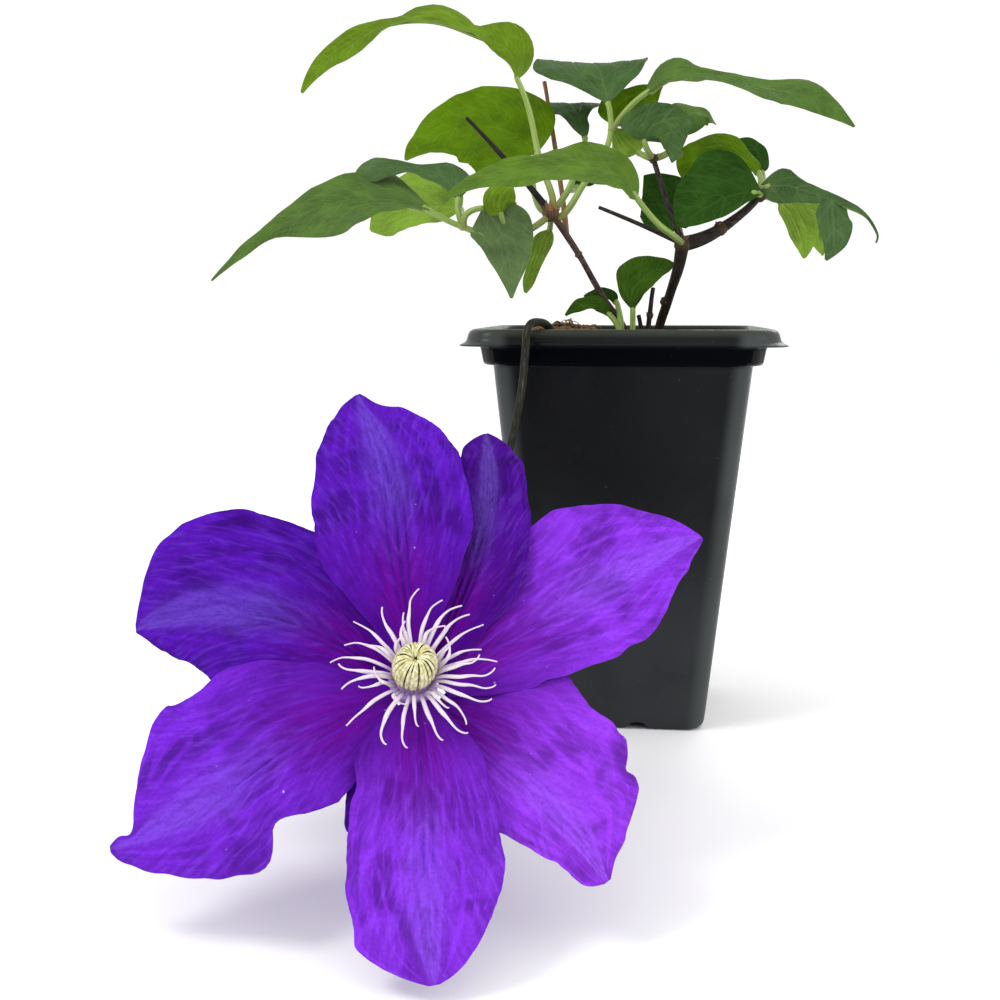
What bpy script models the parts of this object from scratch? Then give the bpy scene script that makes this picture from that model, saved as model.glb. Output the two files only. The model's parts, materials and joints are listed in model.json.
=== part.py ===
"""A young clematis in a square nursery pot, with one large open bloom hanging in front of the pot.

Metres, +Z up. The origin is the centre of the pot's underside, and the pot's front faces -Y.
Places in the tables are in millimetres. They become metres where a mesh is made.
"""

import math
import random

import bmesh
import bpy
import numpy as np
from mathutils import Matrix, Vector

MM = 0.001
WELD = 0.001
GAP = 0.3
SEED = 9

# The pot: half widths, heights and corner radii of its rounded square sections
POT_HEIGHT = 133.0
LIP_HALF = 51.0
BODY_TOP_HALF = 41.0
BODY_TOP_Z = 121.5
BASE_HALF = 29.0
WALL = 1.3
FLOOR = 1.5
CORNER_STEPS = 4
DRAIN_HOLE_RADIUS = 3.5
DRAIN_HOLE_OFFSET = 13.0
NOTCH_RADIUS = 4.2
NOTCH_RISE = 2.8
NOTCH_OFFSET = 6.6
CUT_SIDES = 12
CUT_DEPTH = 10.0

# The soil: its level at the pot's wall and the mounds on it
SOIL_LEVEL = 125.5
SOIL_MOUNDS = [
    dict(centre=(-22.0, 13.0), height=7.6, spread=17.0),
    dict(centre=(6.0, -6.0), height=4.0, spread=20.0),
]
SOIL_GRAIN = 0.7
ROOT_Z = 113.0
HOLE_CLEARANCE = 0.8
HOLE_RISE = 12.0

# The stems and the foliage
LARGE_KNOB = 2.6
CUT_CLEARANCE = GAP + 0.05
BLADE_THICKNESS = 0.7
TIP_HALF_WIDTH = 0.4
BLADE_END = 0.004
LEAF_PROFILE = (0.50, 0.95)
LEAF_STATIONS = (0.1, 0.25, 0.4, 0.55, 0.7, 0.85)
LARGE_BLADE = 14
MIDDLE_BLADE = 8
PETIOLE_RADIUS = (1.15, 0.9)
STALK_OVERLAP = 0.10

# The bloom: its centre on the receptacle, and how far its face leans back from facing forwards
BLOOM_CENTRE = (-46.0, -159.5, 53.5)
BLOOM_LEAN = math.radians(45)
RECEPTACLE_RADIUS = 5.0
RECEPTACLE_DEPTH = 7.0
SEPAL_THICKNESS = 0.8
SEPAL_STATIONS = (0.1, 0.2, 0.3, 0.4, 0.5, 0.56, 0.62, 0.7, 0.8, 0.86, 0.92, 0.97)
SEPAL_CLAW = 5.0
LAYER = 1.9
STALK_RADII = (1.3, 1.2, 1.15, 1.15, 1.3)
MIDDLE_LEAN = (0.17, 0.03)
STAMEN_FOOT = 4.4
STAMEN_RADII = (0.46, 0.52, 0.5, 0.3, 0.22)
STAMEN_RING_SIDES = 24
STYLE_RIBS = 16
STYLE_RIB_DEPTH = 0.07
STYLE_FOOT = 2.5

LEFT_NODE = (-24, -16, 170)
RIGHT_NODE = (19, -16, 160)
TWIG_NODE = (9, -8, 188)
BRANCH_NODE = (44, -8, 176)


def material(name, colour, roughness):
    """A plain Principled material."""
    made = bpy.data.materials.new(name)
    made.use_nodes = True
    shader = made.node_tree.nodes["Principled BSDF"]
    shader.inputs["Base Color"].default_value = (*colour, 1.0)
    shader.inputs["Roughness"].default_value = roughness
    shader.inputs["Metallic"].default_value = 0.0
    return made


def unit(vector):
    """The vector at length 1, along the last axis of an array."""
    vector = np.asarray(vector, float)
    return vector / np.linalg.norm(vector, axis=-1, keepdims=True)


def flow(knots, values, wanted):
    """Values at the wanted places, on a smooth curve through the values at the knots."""
    knots = np.asarray(knots, float)
    values = np.asarray(values, float)
    steps = np.diff(knots)
    slopes = np.empty_like(values)
    slopes[1:-1] = (values[2:] - values[:-2]) / (knots[2:] - knots[:-2])[:, None]
    slopes[0] = 2 * (values[1] - values[0]) / steps[0] - slopes[1]
    slopes[-1] = 2 * (values[-1] - values[-2]) / steps[-1] - slopes[-2]
    span = np.clip(np.searchsorted(knots, wanted, side="right") - 1, 0, len(steps) - 1)
    size = steps[span][:, None]
    u = (np.asarray(wanted, float) - knots[span])[:, None] / size
    return (
        (2 * u**3 - 3 * u**2 + 1) * values[span]
        + (u**3 - 2 * u**2 + u) * size * slopes[span]
        + (3 * u**2 - 2 * u**3) * values[span + 1]
        + (u**3 - u**2) * size * slopes[span + 1]
    )


def path_at(points, shares):
    """Places along a smooth curve through the points, at these shares of its length."""
    points = np.asarray(points, float)
    if len(points) == 2:
        shares = np.asarray(shares, float)[:, None]
        return points[0] * (1 - shares) + points[1] * shares
    steps = np.linalg.norm(np.diff(points, axis=0), axis=1)
    knots = np.concatenate([[0], np.cumsum(steps)])
    curve = flow(knots, points, np.linspace(0, knots[-1], 40 * len(points)))
    lengths = np.concatenate([[0], np.cumsum(np.linalg.norm(np.diff(curve, axis=0), axis=1))])
    wanted = np.asarray(shares, float) * lengths[-1]
    return np.stack([np.interp(wanted, lengths, curve[:, axis]) for axis in range(3)], axis=1)


def link(obj):
    """Puts an object in the model's collection."""
    MODEL.objects.link(obj)
    return obj


def object_from(name, bm):
    """A linked object from a bmesh in millimetres."""
    bmesh.ops.scale(bm, vec=Vector((MM, MM, MM)), verts=bm.verts)
    mesh = bpy.data.meshes.new(name)
    bm.to_mesh(mesh)
    bm.free()
    return link(bpy.data.objects.new(name, mesh))


def baked(obj):
    """The object with its modifiers applied, or a curve turned into a closed mesh."""
    graph = bpy.context.evaluated_depsgraph_get()
    mesh = bpy.data.meshes.new_from_object(obj.evaluated_get(graph))
    bm = bmesh.new()
    bm.from_mesh(mesh)
    bmesh.ops.remove_doubles(bm, verts=bm.verts, dist=WELD * MM)
    bm.to_mesh(mesh)
    bm.free()
    name = obj.name
    bpy.data.objects.remove(obj)
    mesh.name = name
    return link(bpy.data.objects.new(name, mesh))


def tube(name, points, radii, count=8, sides=6):
    """A round stalk along a smooth curve through the points, its radius following the radii."""
    shares = np.linspace(0, 1, count)
    places = path_at(points, shares)
    sizes = np.interp(shares, np.linspace(0, 1, len(radii)), radii)
    curve = bpy.data.curves.new(name, "CURVE")
    curve.dimensions = "3D"
    curve.fill_mode = "FULL"
    curve.bevel_depth = MM
    curve.bevel_resolution = sides // 2 - 2
    curve.use_fill_caps = True
    spline = curve.splines.new("POLY")
    spline.points.add(count - 1)
    for point, place, size in zip(spline.points, places, sizes):
        point.co = (*(Vector(place) * MM), 1)
        point.radius = size
    return baked(link(bpy.data.objects.new(name, curve)))


def knob(name, centre, radius):
    """A swollen node on a stem."""
    bm = bmesh.new()
    bmesh.ops.create_icosphere(bm, subdivisions=2 if radius > LARGE_KNOB else 1, radius=radius)
    bmesh.ops.translate(bm, vec=Vector(centre), verts=bm.verts)
    return object_from(name, bm)


def combined(obj, others, operation):
    """One applied Boolean of the object with all the others, which are then removed."""
    name = obj.name
    obj.name = name + ".base"
    group = bpy.data.collections.new(name + "_operands")
    bpy.context.scene.collection.children.link(group)
    for other in others:
        MODEL.objects.unlink(other)
        group.objects.link(other)
    modifier = obj.modifiers.new("combine", "BOOLEAN")
    modifier.operation = operation
    modifier.operand_type = "COLLECTION"
    modifier.collection = group
    modifier.solver = "MANIFOLD"
    result = baked(obj)
    result.name = name
    for other in list(group.objects):
        bpy.data.objects.remove(other)
    bpy.data.collections.remove(group)
    return result


def loft(name, rings):
    """A closed solid through rings of points, from the first ring's cap to the last one's."""
    bm = bmesh.new()
    rows = [[bm.verts.new(point) for point in ring] for ring in rings]
    count = len(rows[0])
    for low, high in zip(rows, rows[1:]):
        for i in range(count):
            j = (i + 1) % count
            bm.faces.new((low[i], low[j], high[j], high[i]))
    bm.faces.new(reversed(rows[0]))
    bm.faces.new(rows[-1])
    return object_from(name, bm)


def rounded_square(half, z, corner):
    """A ring of points round a square with rounded corners."""
    ring = []
    for quarter in range(4):
        turn = quarter * math.pi / 2
        middle = Vector((half - corner, half - corner, 0))
        for step in range(CORNER_STEPS + 1):
            angle = step / CORNER_STEPS * math.pi / 2
            place = middle + corner * Vector((math.cos(angle), math.sin(angle), 0))
            place.rotate(Matrix.Rotation(turn, 3, "Z"))
            ring.append((place.x, place.y, z))
    return ring


def make_pot():
    """The pot: a tapered square shell with a stacking band, a turned down lip and drain holes."""
    outside = [
        (BASE_HALF - 2.4, 0.0, 4.6),
        (BASE_HALF - 0.7, 0.8, 6.0),
        (BASE_HALF + 0.1, 3.0, 6.5),
        (BODY_TOP_HALF, BODY_TOP_Z - 0.4, 7.6),
        (43.0, BODY_TOP_Z + 0.1, 8.6),
        (44.1, BODY_TOP_Z + 1.2, 8.9),
        (44.8, POT_HEIGHT - 6.4, 9.2),
        (45.6, POT_HEIGHT - 5.4, 9.4),
        (50.4, POT_HEIGHT - 5.4, 10.3),
        (LIP_HALF, POT_HEIGHT - 5.0, 10.4),
        (49.4, POT_HEIGHT - 4.2, 10.1),
        (48.7, POT_HEIGHT - 2.6, 9.9),
        (48.2, POT_HEIGHT - 1.1, 9.7),
        (47.2, POT_HEIGHT - 0.2, 9.4),
        (46.4, POT_HEIGHT, 9.1),
        (45.2, POT_HEIGHT - 0.4, 8.8),
    ]
    inside = [
        (44.2, POT_HEIGHT - 2.6, 8.4),
        (43.4, POT_HEIGHT - 6.4, 8.0),
        (42.2, BODY_TOP_Z + 1.4, 7.5),
        (BODY_TOP_HALF - WALL, BODY_TOP_Z - 1.2, 6.6),
        (BASE_HALF - WALL, FLOOR + 0.9, 5.3),
        (BASE_HALF - WALL - 1.0, FLOOR, 4.5),
    ]
    pot = loft("pot", [rounded_square(*section) for section in outside + inside])
    cutters = []
    for side in range(4):
        turn = side * math.pi / 2
        bm = bmesh.new()
        bmesh.ops.create_cone(
            bm, cap_ends=True, segments=CUT_SIDES, radius1=NOTCH_RADIUS, radius2=NOTCH_RADIUS, depth=CUT_DEPTH
        )
        bmesh.ops.rotate(bm, matrix=Matrix.Rotation(math.pi / 2, 3, "X"), verts=bm.verts)
        notch_place = Vector((NOTCH_OFFSET, -BASE_HALF, NOTCH_RISE - NOTCH_RADIUS))
        bmesh.ops.translate(bm, vec=notch_place, verts=bm.verts)
        bmesh.ops.rotate(bm, matrix=Matrix.Rotation(turn, 3, "Z"), verts=bm.verts)
        cutters.append(object_from(f"notch_{side}", bm))
        bm = bmesh.new()
        bmesh.ops.create_cone(
            bm, cap_ends=True, segments=CUT_SIDES, radius1=DRAIN_HOLE_RADIUS, radius2=DRAIN_HOLE_RADIUS,
            depth=CUT_DEPTH,
        )
        hole_place = Vector((DRAIN_HOLE_OFFSET, DRAIN_HOLE_OFFSET, 0))
        bmesh.ops.translate(bm, vec=hole_place, verts=bm.verts)
        bmesh.ops.rotate(bm, matrix=Matrix.Rotation(turn, 3, "Z"), verts=bm.verts)
        cutters.append(object_from(f"drain_{side}", bm))
    return combined(pot, cutters, "DIFFERENCE")


def soil_height(x, y):
    """The soil's surface over a point, with its mounds and a coarse grain."""
    z = SOIL_LEVEL
    for mound in SOIL_MOUNDS:
        away = (x - mound["centre"][0]) ** 2 + (y - mound["centre"][1]) ** 2
        z += mound["height"] * math.exp(-away / mound["spread"] ** 2)
    return z + SOIL_GRAIN * math.sin(0.9 * x + 0.4 * y) * math.cos(0.7 * y - 0.5 * x)


def rooted(points):
    """A stalk's points with a straight foot added under the first one, down in the soil."""
    x, y, z = points[0]
    return [(x, y, ROOT_Z), (x, y, (ROOT_Z + z) / 2), *points]


def make_soil(stakes):
    """The soil that fills the pot, with a plain hole for everything that stands in it."""
    sides = [
        (BASE_HALF - WALL - 1.3, FLOOR + 0.4, 5.0),
        (BASE_HALF - WALL - 0.4, FLOOR + 1.2, 5.8),
        (BODY_TOP_HALF - WALL - 0.5, BODY_TOP_Z - 1.6, 7.6),
        (41.6, BODY_TOP_Z + 1.5, 10.0),
        (42.6, SOIL_LEVEL - 0.6, 10.4),
    ]
    rings = [rounded_square(*section) for section in sides]
    edge = rounded_square(42.0, 0.0, 10.0)
    for share in (1.0, 0.86, 0.7, 0.54, 0.38, 0.22, 0.08):
        ring = [(x * share, y * share) for x, y, _ in edge]
        fade = 1.0 - max(0.0, share - 0.86) / 0.14
        level = SOIL_LEVEL - 0.3
        rings.append([(x, y, level + (soil_height(x, y) - level) * fade) for x, y in ring])
    soil = loft("soil", rings)
    holes = []
    for i, (x, y, radius) in enumerate(stakes):
        ends = [(x, y, ROOT_Z - GAP), (x, y, SOIL_LEVEL + HOLE_RISE)]
        holes.append(tube(f"hole_{i}", ends, (radius, radius), count=2, sides=8))
    return combined(soil, holes, "DIFFERENCE")


# Every stem: its stretches as points, radii at even shares, and the nodes that swell on it
STEMS = {
    "stem_left": dict(
        stretches=[
            (rooted([(1, -4, 131), (-7, -8, 143), (-15, -12, 157), LEFT_NODE]), (1.2, 1.1, 1.0, 1.2)),
            ([LEFT_NODE, (-34, -19, 182), (-51, -22, 200)], (1.3, 0.8, 0.6)),
            ([(-19, -13.5, 163), (-22, 2, 181), (-29, 20, 217.5)], (1.0, 0.8, 0.7)),
        ],
        knobs=[(LEFT_NODE, 2.9), ((-15, -12, 157), 1.3)],
    ),
    "stem_right": dict(
        stretches=[
            (rooted([(11.7, 2, 131), (15, -4, 143), (17.5, -10, 152), RIGHT_NODE]), (1.45, 1.5, 1.6, 2.2)),
            ([RIGHT_NODE, (28, -14, 163), (38, -10, 170), BRANCH_NODE], (2.3, 1.9, 1.5, 1.2)),
            ([RIGHT_NODE, (5, -22, 166), (-8, -28, 171)], (0.9, 0.65, 0.55)),
            ([RIGHT_NODE, (14, -15, 164), (8, -14, 168)], (0.9, 0.6, 0.5)),
            ([RIGHT_NODE, (14, -12, 173), TWIG_NODE], (1.1, 0.9, 0.8)),
        ],
        knobs=[
            (RIGHT_NODE, 2.9), ((14, -3, 141.5), 1.9), ((31, -13, 165), 2.4), (BRANCH_NODE, 2.3),
            (TWIG_NODE, 1.7),
        ],
    ),
    "stub_tall": dict(
        stretches=[(rooted([(8.2, -10, 131), (9.7, -10.5, 146)]), (0.95, 0.9, 0.8))],
        knobs=[((8.7, -10.2, 137), 1.3)],
    ),
    "stub_short": dict(
        stretches=[(rooted([(6, -7, 131), (5, -7, 137)]), (0.9, 0.85, 0.8))],
        knobs=[],
    ),
}

# Every leaf: its stalks, which run on into a blade as its midrib, and its blades.
# A blade's spine runs from base to tip. Its face is the way its upper side looks, from base to tip.
# It has its half widths at the stations to the left and right, or its greatest half width.
BLADE_WIDTHS = ("half_width", "profile", "left", "right")
LEAVES = {
    "leaf_top_left": dict(
        colour="leaf_bright",
        stalks=[[LEFT_NODE, (-23.5, -17.5, 175), (-28, -12, 187), (-32, -10, 204), (-36, -8, 214)]],
        blades=[
            dict(spine=[(-36, -8, 214), (-38.5, -10, 222.5), (-48.5, -13, 227.5), (-63, -16, 231.5),
                        (-77.5, -20, 229.5), (-88, -23, 223), (-97, -27, 216), (-103, -30, 207)],
                 left=(3.5, 7, 8, 6, 5, 3.2), right=(8.5, 6.5, 12.5, 4, 5, 3.4), fold=10, wave=0.5,
                 face=((0.3, -0.95, 0.3), (0.1, -0.95, 0.31), (0, -0.32, 0.95), (0, -0.48, 0.88),
                       (0, -0.42, 0.91), (0, -0.6, 0.8), (0.2, -0.8, 0.6), (0.3, -0.8, 0.55),
                       (0.3, -0.8, 0.55))),
        ],
    ),
    "leaf_round_back": dict(
        colour="leaf_bright",
        stalks=[[LEFT_NODE, (-28.5, -11, 173), (-31, -5, 182), (-30, -1, 191)]],
        blades=[
            dict(spine=[(-30, -1, 191), (-45, 6, 200.5), (-60.5, 7, 200), (-70.5, 3, 194.5),
                        (-74.5, -2, 189)],
                 left=(19, 20, 19.5, 17, 13, 6.5), right=(13.5, 18, 18.5, 14, 9.5, 4.5),
                 face=((0, -0.8, 0.6), (0, -0.8, 0.6)), fold=4, wave=1.0),
        ],
    ),
    "leaf_far_left": dict(
        colour="leaf_dark",
        stalks=[
            [LEFT_NODE, (-38, -24, 162), (-51, -30, 165), (-63, -34, 171)],
            [(-51, -30, 165), (-53, -28, 170), (-53, -28, 174)],
            [(-51, -30, 165), (-54, -14, 167), (-56, 2, 173)],
            [(-51, -30, 165), (-50, -31, 169), (-45, -29, 171)],
            [(-36, -23, 163), (-38, -26, 166), (-39, -29.8, 169)],
        ],
        blades=[
            dict(spine=[(-63, -34, 171), (-74.5, -42, 173), (-87.5, -49, 172), (-98.5, -55, 167),
                        (-110.5, -60, 158.5), (-124, -62, 147.5)],
                 left=(6, 11, 20, 24.5, 3.5, 2), right=(26, 17, 13.5, 9, 4.5, 4), fold=3, wave=0.6, lobe=3,
                 face=((-0.1, -0.55, 0.83), (-0.25, -0.6, 0.76), (-0.35, -0.6, 0.7))),
            dict(spine=[(-53, -28, 174), (-59, -27, 181.5), (-68, -27, 184), (-76.5, -28, 184),
                        (-86, -29, 182.5)],
                 left=(2, 3.5, 5, 3, 4, 7.5), right=(7.5, 7, 4, 2.5, 4.5, 7.5),
                 face=((0, -0.6, 0.8), (0, -0.6, 0.8)), wave=0.6),
            dict(spine=[(-56, 2, 173), (-74, 10, 173.5), (-90, 12, 166.5)],
                 left=(5, 7, 7, 6.5, 7, 6.5), right=(7.5, 13, 15, 16.5, 14.5, 8.5), wave=0.6,
                 face=((0, -0.85, 0.5), (0, -0.85, 0.5))),
            dict(spine=[(-45, -29, 171), (-39.5, -27, 163.5), (-37, -25, 154), (-36, -26, 142.5)],
                 left=(6.5, 10.5, 10, 8, 5.5, 2.5), right=(8, 8.5, 7.5, 6.5, 4.5, 2.5), fold=6, wave=0.4,
                 face=((0, -1, 0.15), (0, -1, 0.15))),
            dict(spine=[(-39, -29.8, 169), (-40, -30.2, 172), (-39, -29.6, 175), (-35.5, -27.6, 178)],
                 left=(3, 4.5, 5, 5, 4.5, 3), right=(3, 5, 6, 6, 5, 3.5), wave=0.6,
                 face=((0, -0.9, 0.4), (0, -0.8, 0.6))),
        ],
    ),
    "leaf_low_back": dict(
        colour="leaf_pale",
        stalks=[[LEFT_NODE, (-24.5, -11, 168), (-25, -6, 165.5)]],
        blades=[
            dict(spine=[(-25, -6, 165.5), (-29, 0, 156), (-34, 2, 144.5)],
                 left=(2, 2.5, 2, 1.6, 1.6, 1.5), right=(3.5, 4.5, 4, 3.5, 3, 2.5), wave=0.4,
                 face=((0.3, -0.9, 0.2), (0.3, -0.9, 0.2))),
        ],
    ),
    "leaf_fan_up": dict(
        colour="leaf_dark",
        stalks=[
            [(-22.3, -15.2, 168), (-18.5, -14, 171.5), (-14, -12, 179), (-7, -9, 190), (-5, -7, 197),
             (-6, -7, 206)],
            [(-5, -7, 197), (1, -5, 205), (7, -4, 210)],
            [(-5, -7, 197), (-4, 0, 200)],
        ],
        blades=[
            dict(spine=[(-6, -7, 206), (-8, -3, 213.5), (-10, 6, 220), (-14, 23, 223.5), (-20, 45, 222.5)],
                 left=(8, 20.5, 21.5, 19, 15, 8), right=(8, 15, 18, 17, 14, 8), fold=2, wave=1.0,
                 face=((0, -0.75, 0.65), (0, -0.5, 0.85), (0, -0.1, 1), (0, 0.1, 1), (0, 0.1, 1))),
            dict(spine=[(7, -4, 210), (15.5, -8, 214.5), (28, -12, 213.5), (42, -17, 209), (55.5, -21, 205.5),
                        (64, -23, 201), (71, -24, 195)],
                 left=(12.5, 5, 4.5, 6, 10, 4), right=(3.5, 8, 4.5, 8.5, 9, 5.5), fold=2, wave=0.4, lobe=2,
                 face=((0, -0.53, 0.85), (0, -0.62, 0.79), (0, -0.42, 0.91), (0, -0.42, 0.91),
                       (0, -0.55, 0.83), (0.1, -0.73, 0.68), (0.2, -0.73, 0.65))),
            dict(spine=[(-4, 0, 200), (1, 8, 207), (7, 12, 211), (12, 12, 214)],
                 half_width=9, face=((0, -0.9, 0.4), (0, -0.9, 0.4)), wave=1.2),
        ],
    ),
    "leaf_fan_back": dict(
        colour="leaf_bright",
        stalks=[
            [LEFT_NODE, (-21.5, -12, 173.5), (-18.5, -7, 179), (-15, 6, 192), (-14, 9, 197)],
            [(-18.5, -7, 179), (-18, 2, 179), (-17, 10, 181)],
        ],
        blades=[
            dict(spine=[(-14, 9, 197), (-17, 16, 205), (-21, 32, 212), (-25, 46, 211)],
                 left=(3, 6, 8, 9.5, 9, 6), right=(2.5, 3.5, 7, 12, 12, 6), wave=0.8,
                 face=((0, -0.5, 1), (0, 0, 1))),
            dict(spine=[(-17, 10, 181), (-13, 17, 186.5), (-8, 21, 190), (-2, 24, 191.5)],
                 left=(4, 7, 8.5, 8.5, 7, 4.5), right=(3, 4.5, 5, 5, 4, 2.5), wave=0.6,
                 face=((0, -1, 0.3), (0, -1, 0.3))),
        ],
    ),
    "leaf_front_long": dict(
        colour="leaf_bright",
        stalks=[[RIGHT_NODE, (16, -24, 162), (10, -34, 166), (3, -42, 174)]],
        blades=[
            dict(spine=[(3, -42, 174), (-3.5, -46, 180), (-19, -52, 181.5), (-36.5, -58, 178.5),
                        (-46.5, -62, 174.5), (-53, -64, 169.5)],
                 left=(9, 11, 12, 11.5, 8, 4), right=(12, 13, 10.5, 7, 6, 4.5), fold=4, wave=1.0, lobe=2,
                 face=((0, -0.6, 0.8), (0, -0.5, 0.87))),
        ],
    ),
    "leaf_low_centre": dict(
        colour="leaf_dark",
        stalks=[[RIGHT_NODE, (18.5, -10, 163), (18, -5, 166)]],
        blades=[
            dict(spine=[(18, -5, 166), (15, 2, 173), (12, 4, 178), (6, 6, 184)],
                 half_width=11, face=((0, -1, 0.2), (0, -1, 0.2)), fold=8, wave=1.2, lobe=2),
        ],
    ),
    "leaf_centre": dict(
        colour="leaf_dark",
        stalks=[[TWIG_NODE, (7, -11, 190.5), (6, -13, 193)]],
        blades=[
            dict(spine=[(6, -13, 193), (8, -15.5, 197), (14, -17, 199.5), (22, -14, 199.5)],
                 left=(9, 8, 7, 5.5, 3.5, 1.5), right=(12.5, 13.5, 14, 13.5, 11, 6.5), wave=0.5,
                 face=((0, -1, 0.2), (0, -1, 0.2))),
        ],
    ),
    "leaf_crescent": dict(
        colour="leaf_pale",
        stalks=[[TWIG_NODE, (6.5, -5.5, 189), (4, -1, 191)]],
        blades=[
            dict(spine=[(4, -1, 191), (0, 4, 195), (-4, 8, 200)],
                 half_width=6, face=((0, -1, 0.2), (0, -1, 0.2)), wave=0.6),
        ],
    ),
    "leaf_arch_back": dict(
        colour="leaf_dark",
        stalks=[[TWIG_NODE, (13.5, -4.5, 190), (17, 6, 196), (20, 14, 198)]],
        blades=[
            dict(spine=[(20, 14, 198), (20.5, 17, 204), (24, 22, 207), (31, 26, 203)],
                 half_width=7.5, face=((0, -0.7, 0.7), (0.3, -0.5, 0.8)), wave=1.0),
        ],
    ),
    "leaf_right_back": dict(
        colour="leaf_pale",
        stalks=[
            [BRANCH_NODE, (44.5, -4, 180), (44, 0, 184)],
            [(44.5, -4, 180), (46, 4, 181), (46, 10, 185)],
        ],
        blades=[
            dict(spine=[(44, 0, 184), (40, 2, 188.5), (31, 5, 192), (24, 5, 189.5), (19.5, 1, 182)],
                 left=(5, 8, 9, 9, 8, 5), right=(3, 5, 8, 9.5, 8, 5), wave=0.8,
                 face=((0.1, -0.6, 0.8), (-0.1, -0.7, 0.7))),
            dict(spine=[(46, 10, 185), (45.5, 13, 190.5), (42, 16, 195), (36, 20, 196.5)],
                 left=(3, 4.5, 5, 5, 4, 2.5), right=(2, 2.5, 3, 3, 2.5, 1.5), wave=0.4,
                 face=((0, -1, 0.3), (0, -0.8, 0.6))),
        ],
    ),
    "leaf_heart": dict(
        colour="leaf_dark",
        stalks=[[BRANCH_NODE, (43, -13, 176), (41, -17, 176)]],
        blades=[
            dict(spine=[(41, -17, 176), (34, -20, 175), (25.5, -22, 171), (16.5, -24, 165)],
                 left=(2.5, 4.5, 5.5, 5.5, 4.5, 3), right=(11.5, 16, 16.5, 13.5, 11.5, 7.5),
                 fold=3, wave=0.5, lobe=3, face=((0.15, -0.9, 0.4), (0.1, -0.9, 0.4))),
        ],
    ),
    "leaf_drape": dict(
        colour="leaf_dark",
        stalks=[[BRANCH_NODE, (45, -10, 177.5), (46, -12, 178.5)]],
        blades=[
            dict(spine=[(46, -12, 178.5), (52.5, -16, 178), (61, -19, 175), (69, -22, 171.5),
                        (75.5, -24, 168), (79, -25, 162.5), (78.5, -25, 159.5)],
                 left=(7, 5, 4, 3, 2.5, 0.6), right=(5.5, 6.5, 3.5, 1, 0.6, 0.9), fold=-6, wave=0.3, lobe=3,
                 face=((-0.2, -0.9, 0.4), (0.2, -0.75, 0.6), (0.3, -0.7, 0.6), (0.7, -0.3, 0.5))),
            dict(spine=[(65, -21, 173.5), (65.5, -23, 166.5), (66.5, -21, 160), (64, -20, 154.5)],
                 left=(4, 5, 6, 6, 4.5, 2), right=(4, 5.5, 5, 4.5, 4, 2.5), wave=0.4,
                 face=((0.2, -1, 0.1), (0.3, -1, 0.1))),
        ],
    ),
    "leaf_low_right": dict(
        colour="leaf_pale",
        stalks=[
            [BRANCH_NODE, (48, -2, 175.5), (51, 2, 175)],
            [(48, -2, 175.5), (54, 4, 177), (59, 8, 175)],
        ],
        blades=[
            dict(spine=[(51, 2, 175), (57.5, 6, 167), (60.5, 6, 156)],
                 left=(5, 7, 7.5, 7.5, 6, 3.5), right=(2.5, 3, 3.5, 3.5, 3, 2), fold=8, wave=0.8,
                 face=((0, -1, 0.1), (0, -1, 0.1))),
            dict(spine=[(59, 8, 175), (64, 9, 167), (67, 9, 157)],
                 half_width=5.5, face=((0.1, -1, 0.1), (0.1, -1, 0.1)), fold=8, wave=0.8),
        ],
    ),
    "leaf_basal": dict(
        colour="leaf_bright",
        stalks=[rooted([(3.1, -14.5, 131), (3, -15, 139)])],
        blades=[
            dict(spine=[(3, -15, 139), (3, -15, 145), (8, -12, 150.5), (16.5, -8, 154)],
                 left=(2, 5.5, 9.5, 8.5, 6.5, 4.5), right=(3, 4.5, 5.5, 4.5, 4, 3), fold=6, wave=0.5,
                 face=((-0.3, -0.85, 0.45), (-0.3, -0.85, 0.45))),
        ],
    ),
    "shoot_small": dict(
        colour="leaf_dark",
        stalks=[
            rooted([(-1, -12, 131), (-5, -10, 137.5)]),
            [(-1, -12, 131), (-1, -9, 135), (-2.5, -3, 141.5)],
        ],
        blades=[
            dict(spine=[(-5, -10, 137.5), (-10.5, -13, 140.5), (-19, -17, 137)],
                 left=(1.5, 2, 2, 1.8, 1.5, 1), right=(2.5, 3.5, 4, 3.8, 3, 1.8), wave=0.4,
                 face=((-0.2, -0.85, 0.5), (-0.3, -0.85, 0.5))),
            dict(spine=[(-2.5, -3, 141.5), (-7, -3, 144.5), (-13.5, -4, 143.2)],
                 left=(1, 1.5, 1.5, 1.3, 1, 0.7), right=(1.8, 2.4, 2.4, 2, 1.5, 1), wave=0.3,
                 face=((0, -0.8, 0.6), (0, -0.8, 0.6))),
        ],
    ),
}

# The stalk of the bloom: from the soil over the pot's front edge, down its face and out to the bloom
STALK_ROUTE = [
    (-21, -33, 129), (-23.5, -41, 134.2), (-26.5, -47.5, 135.2), (-28.5, -52.6, 133.4), (-29, -54.2, 127),
    (-30, -55.5, 115), (-33, -62, 98), (-39, -80, 78), (-44, -108, 61), (-46, -133, 50),
]

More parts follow.
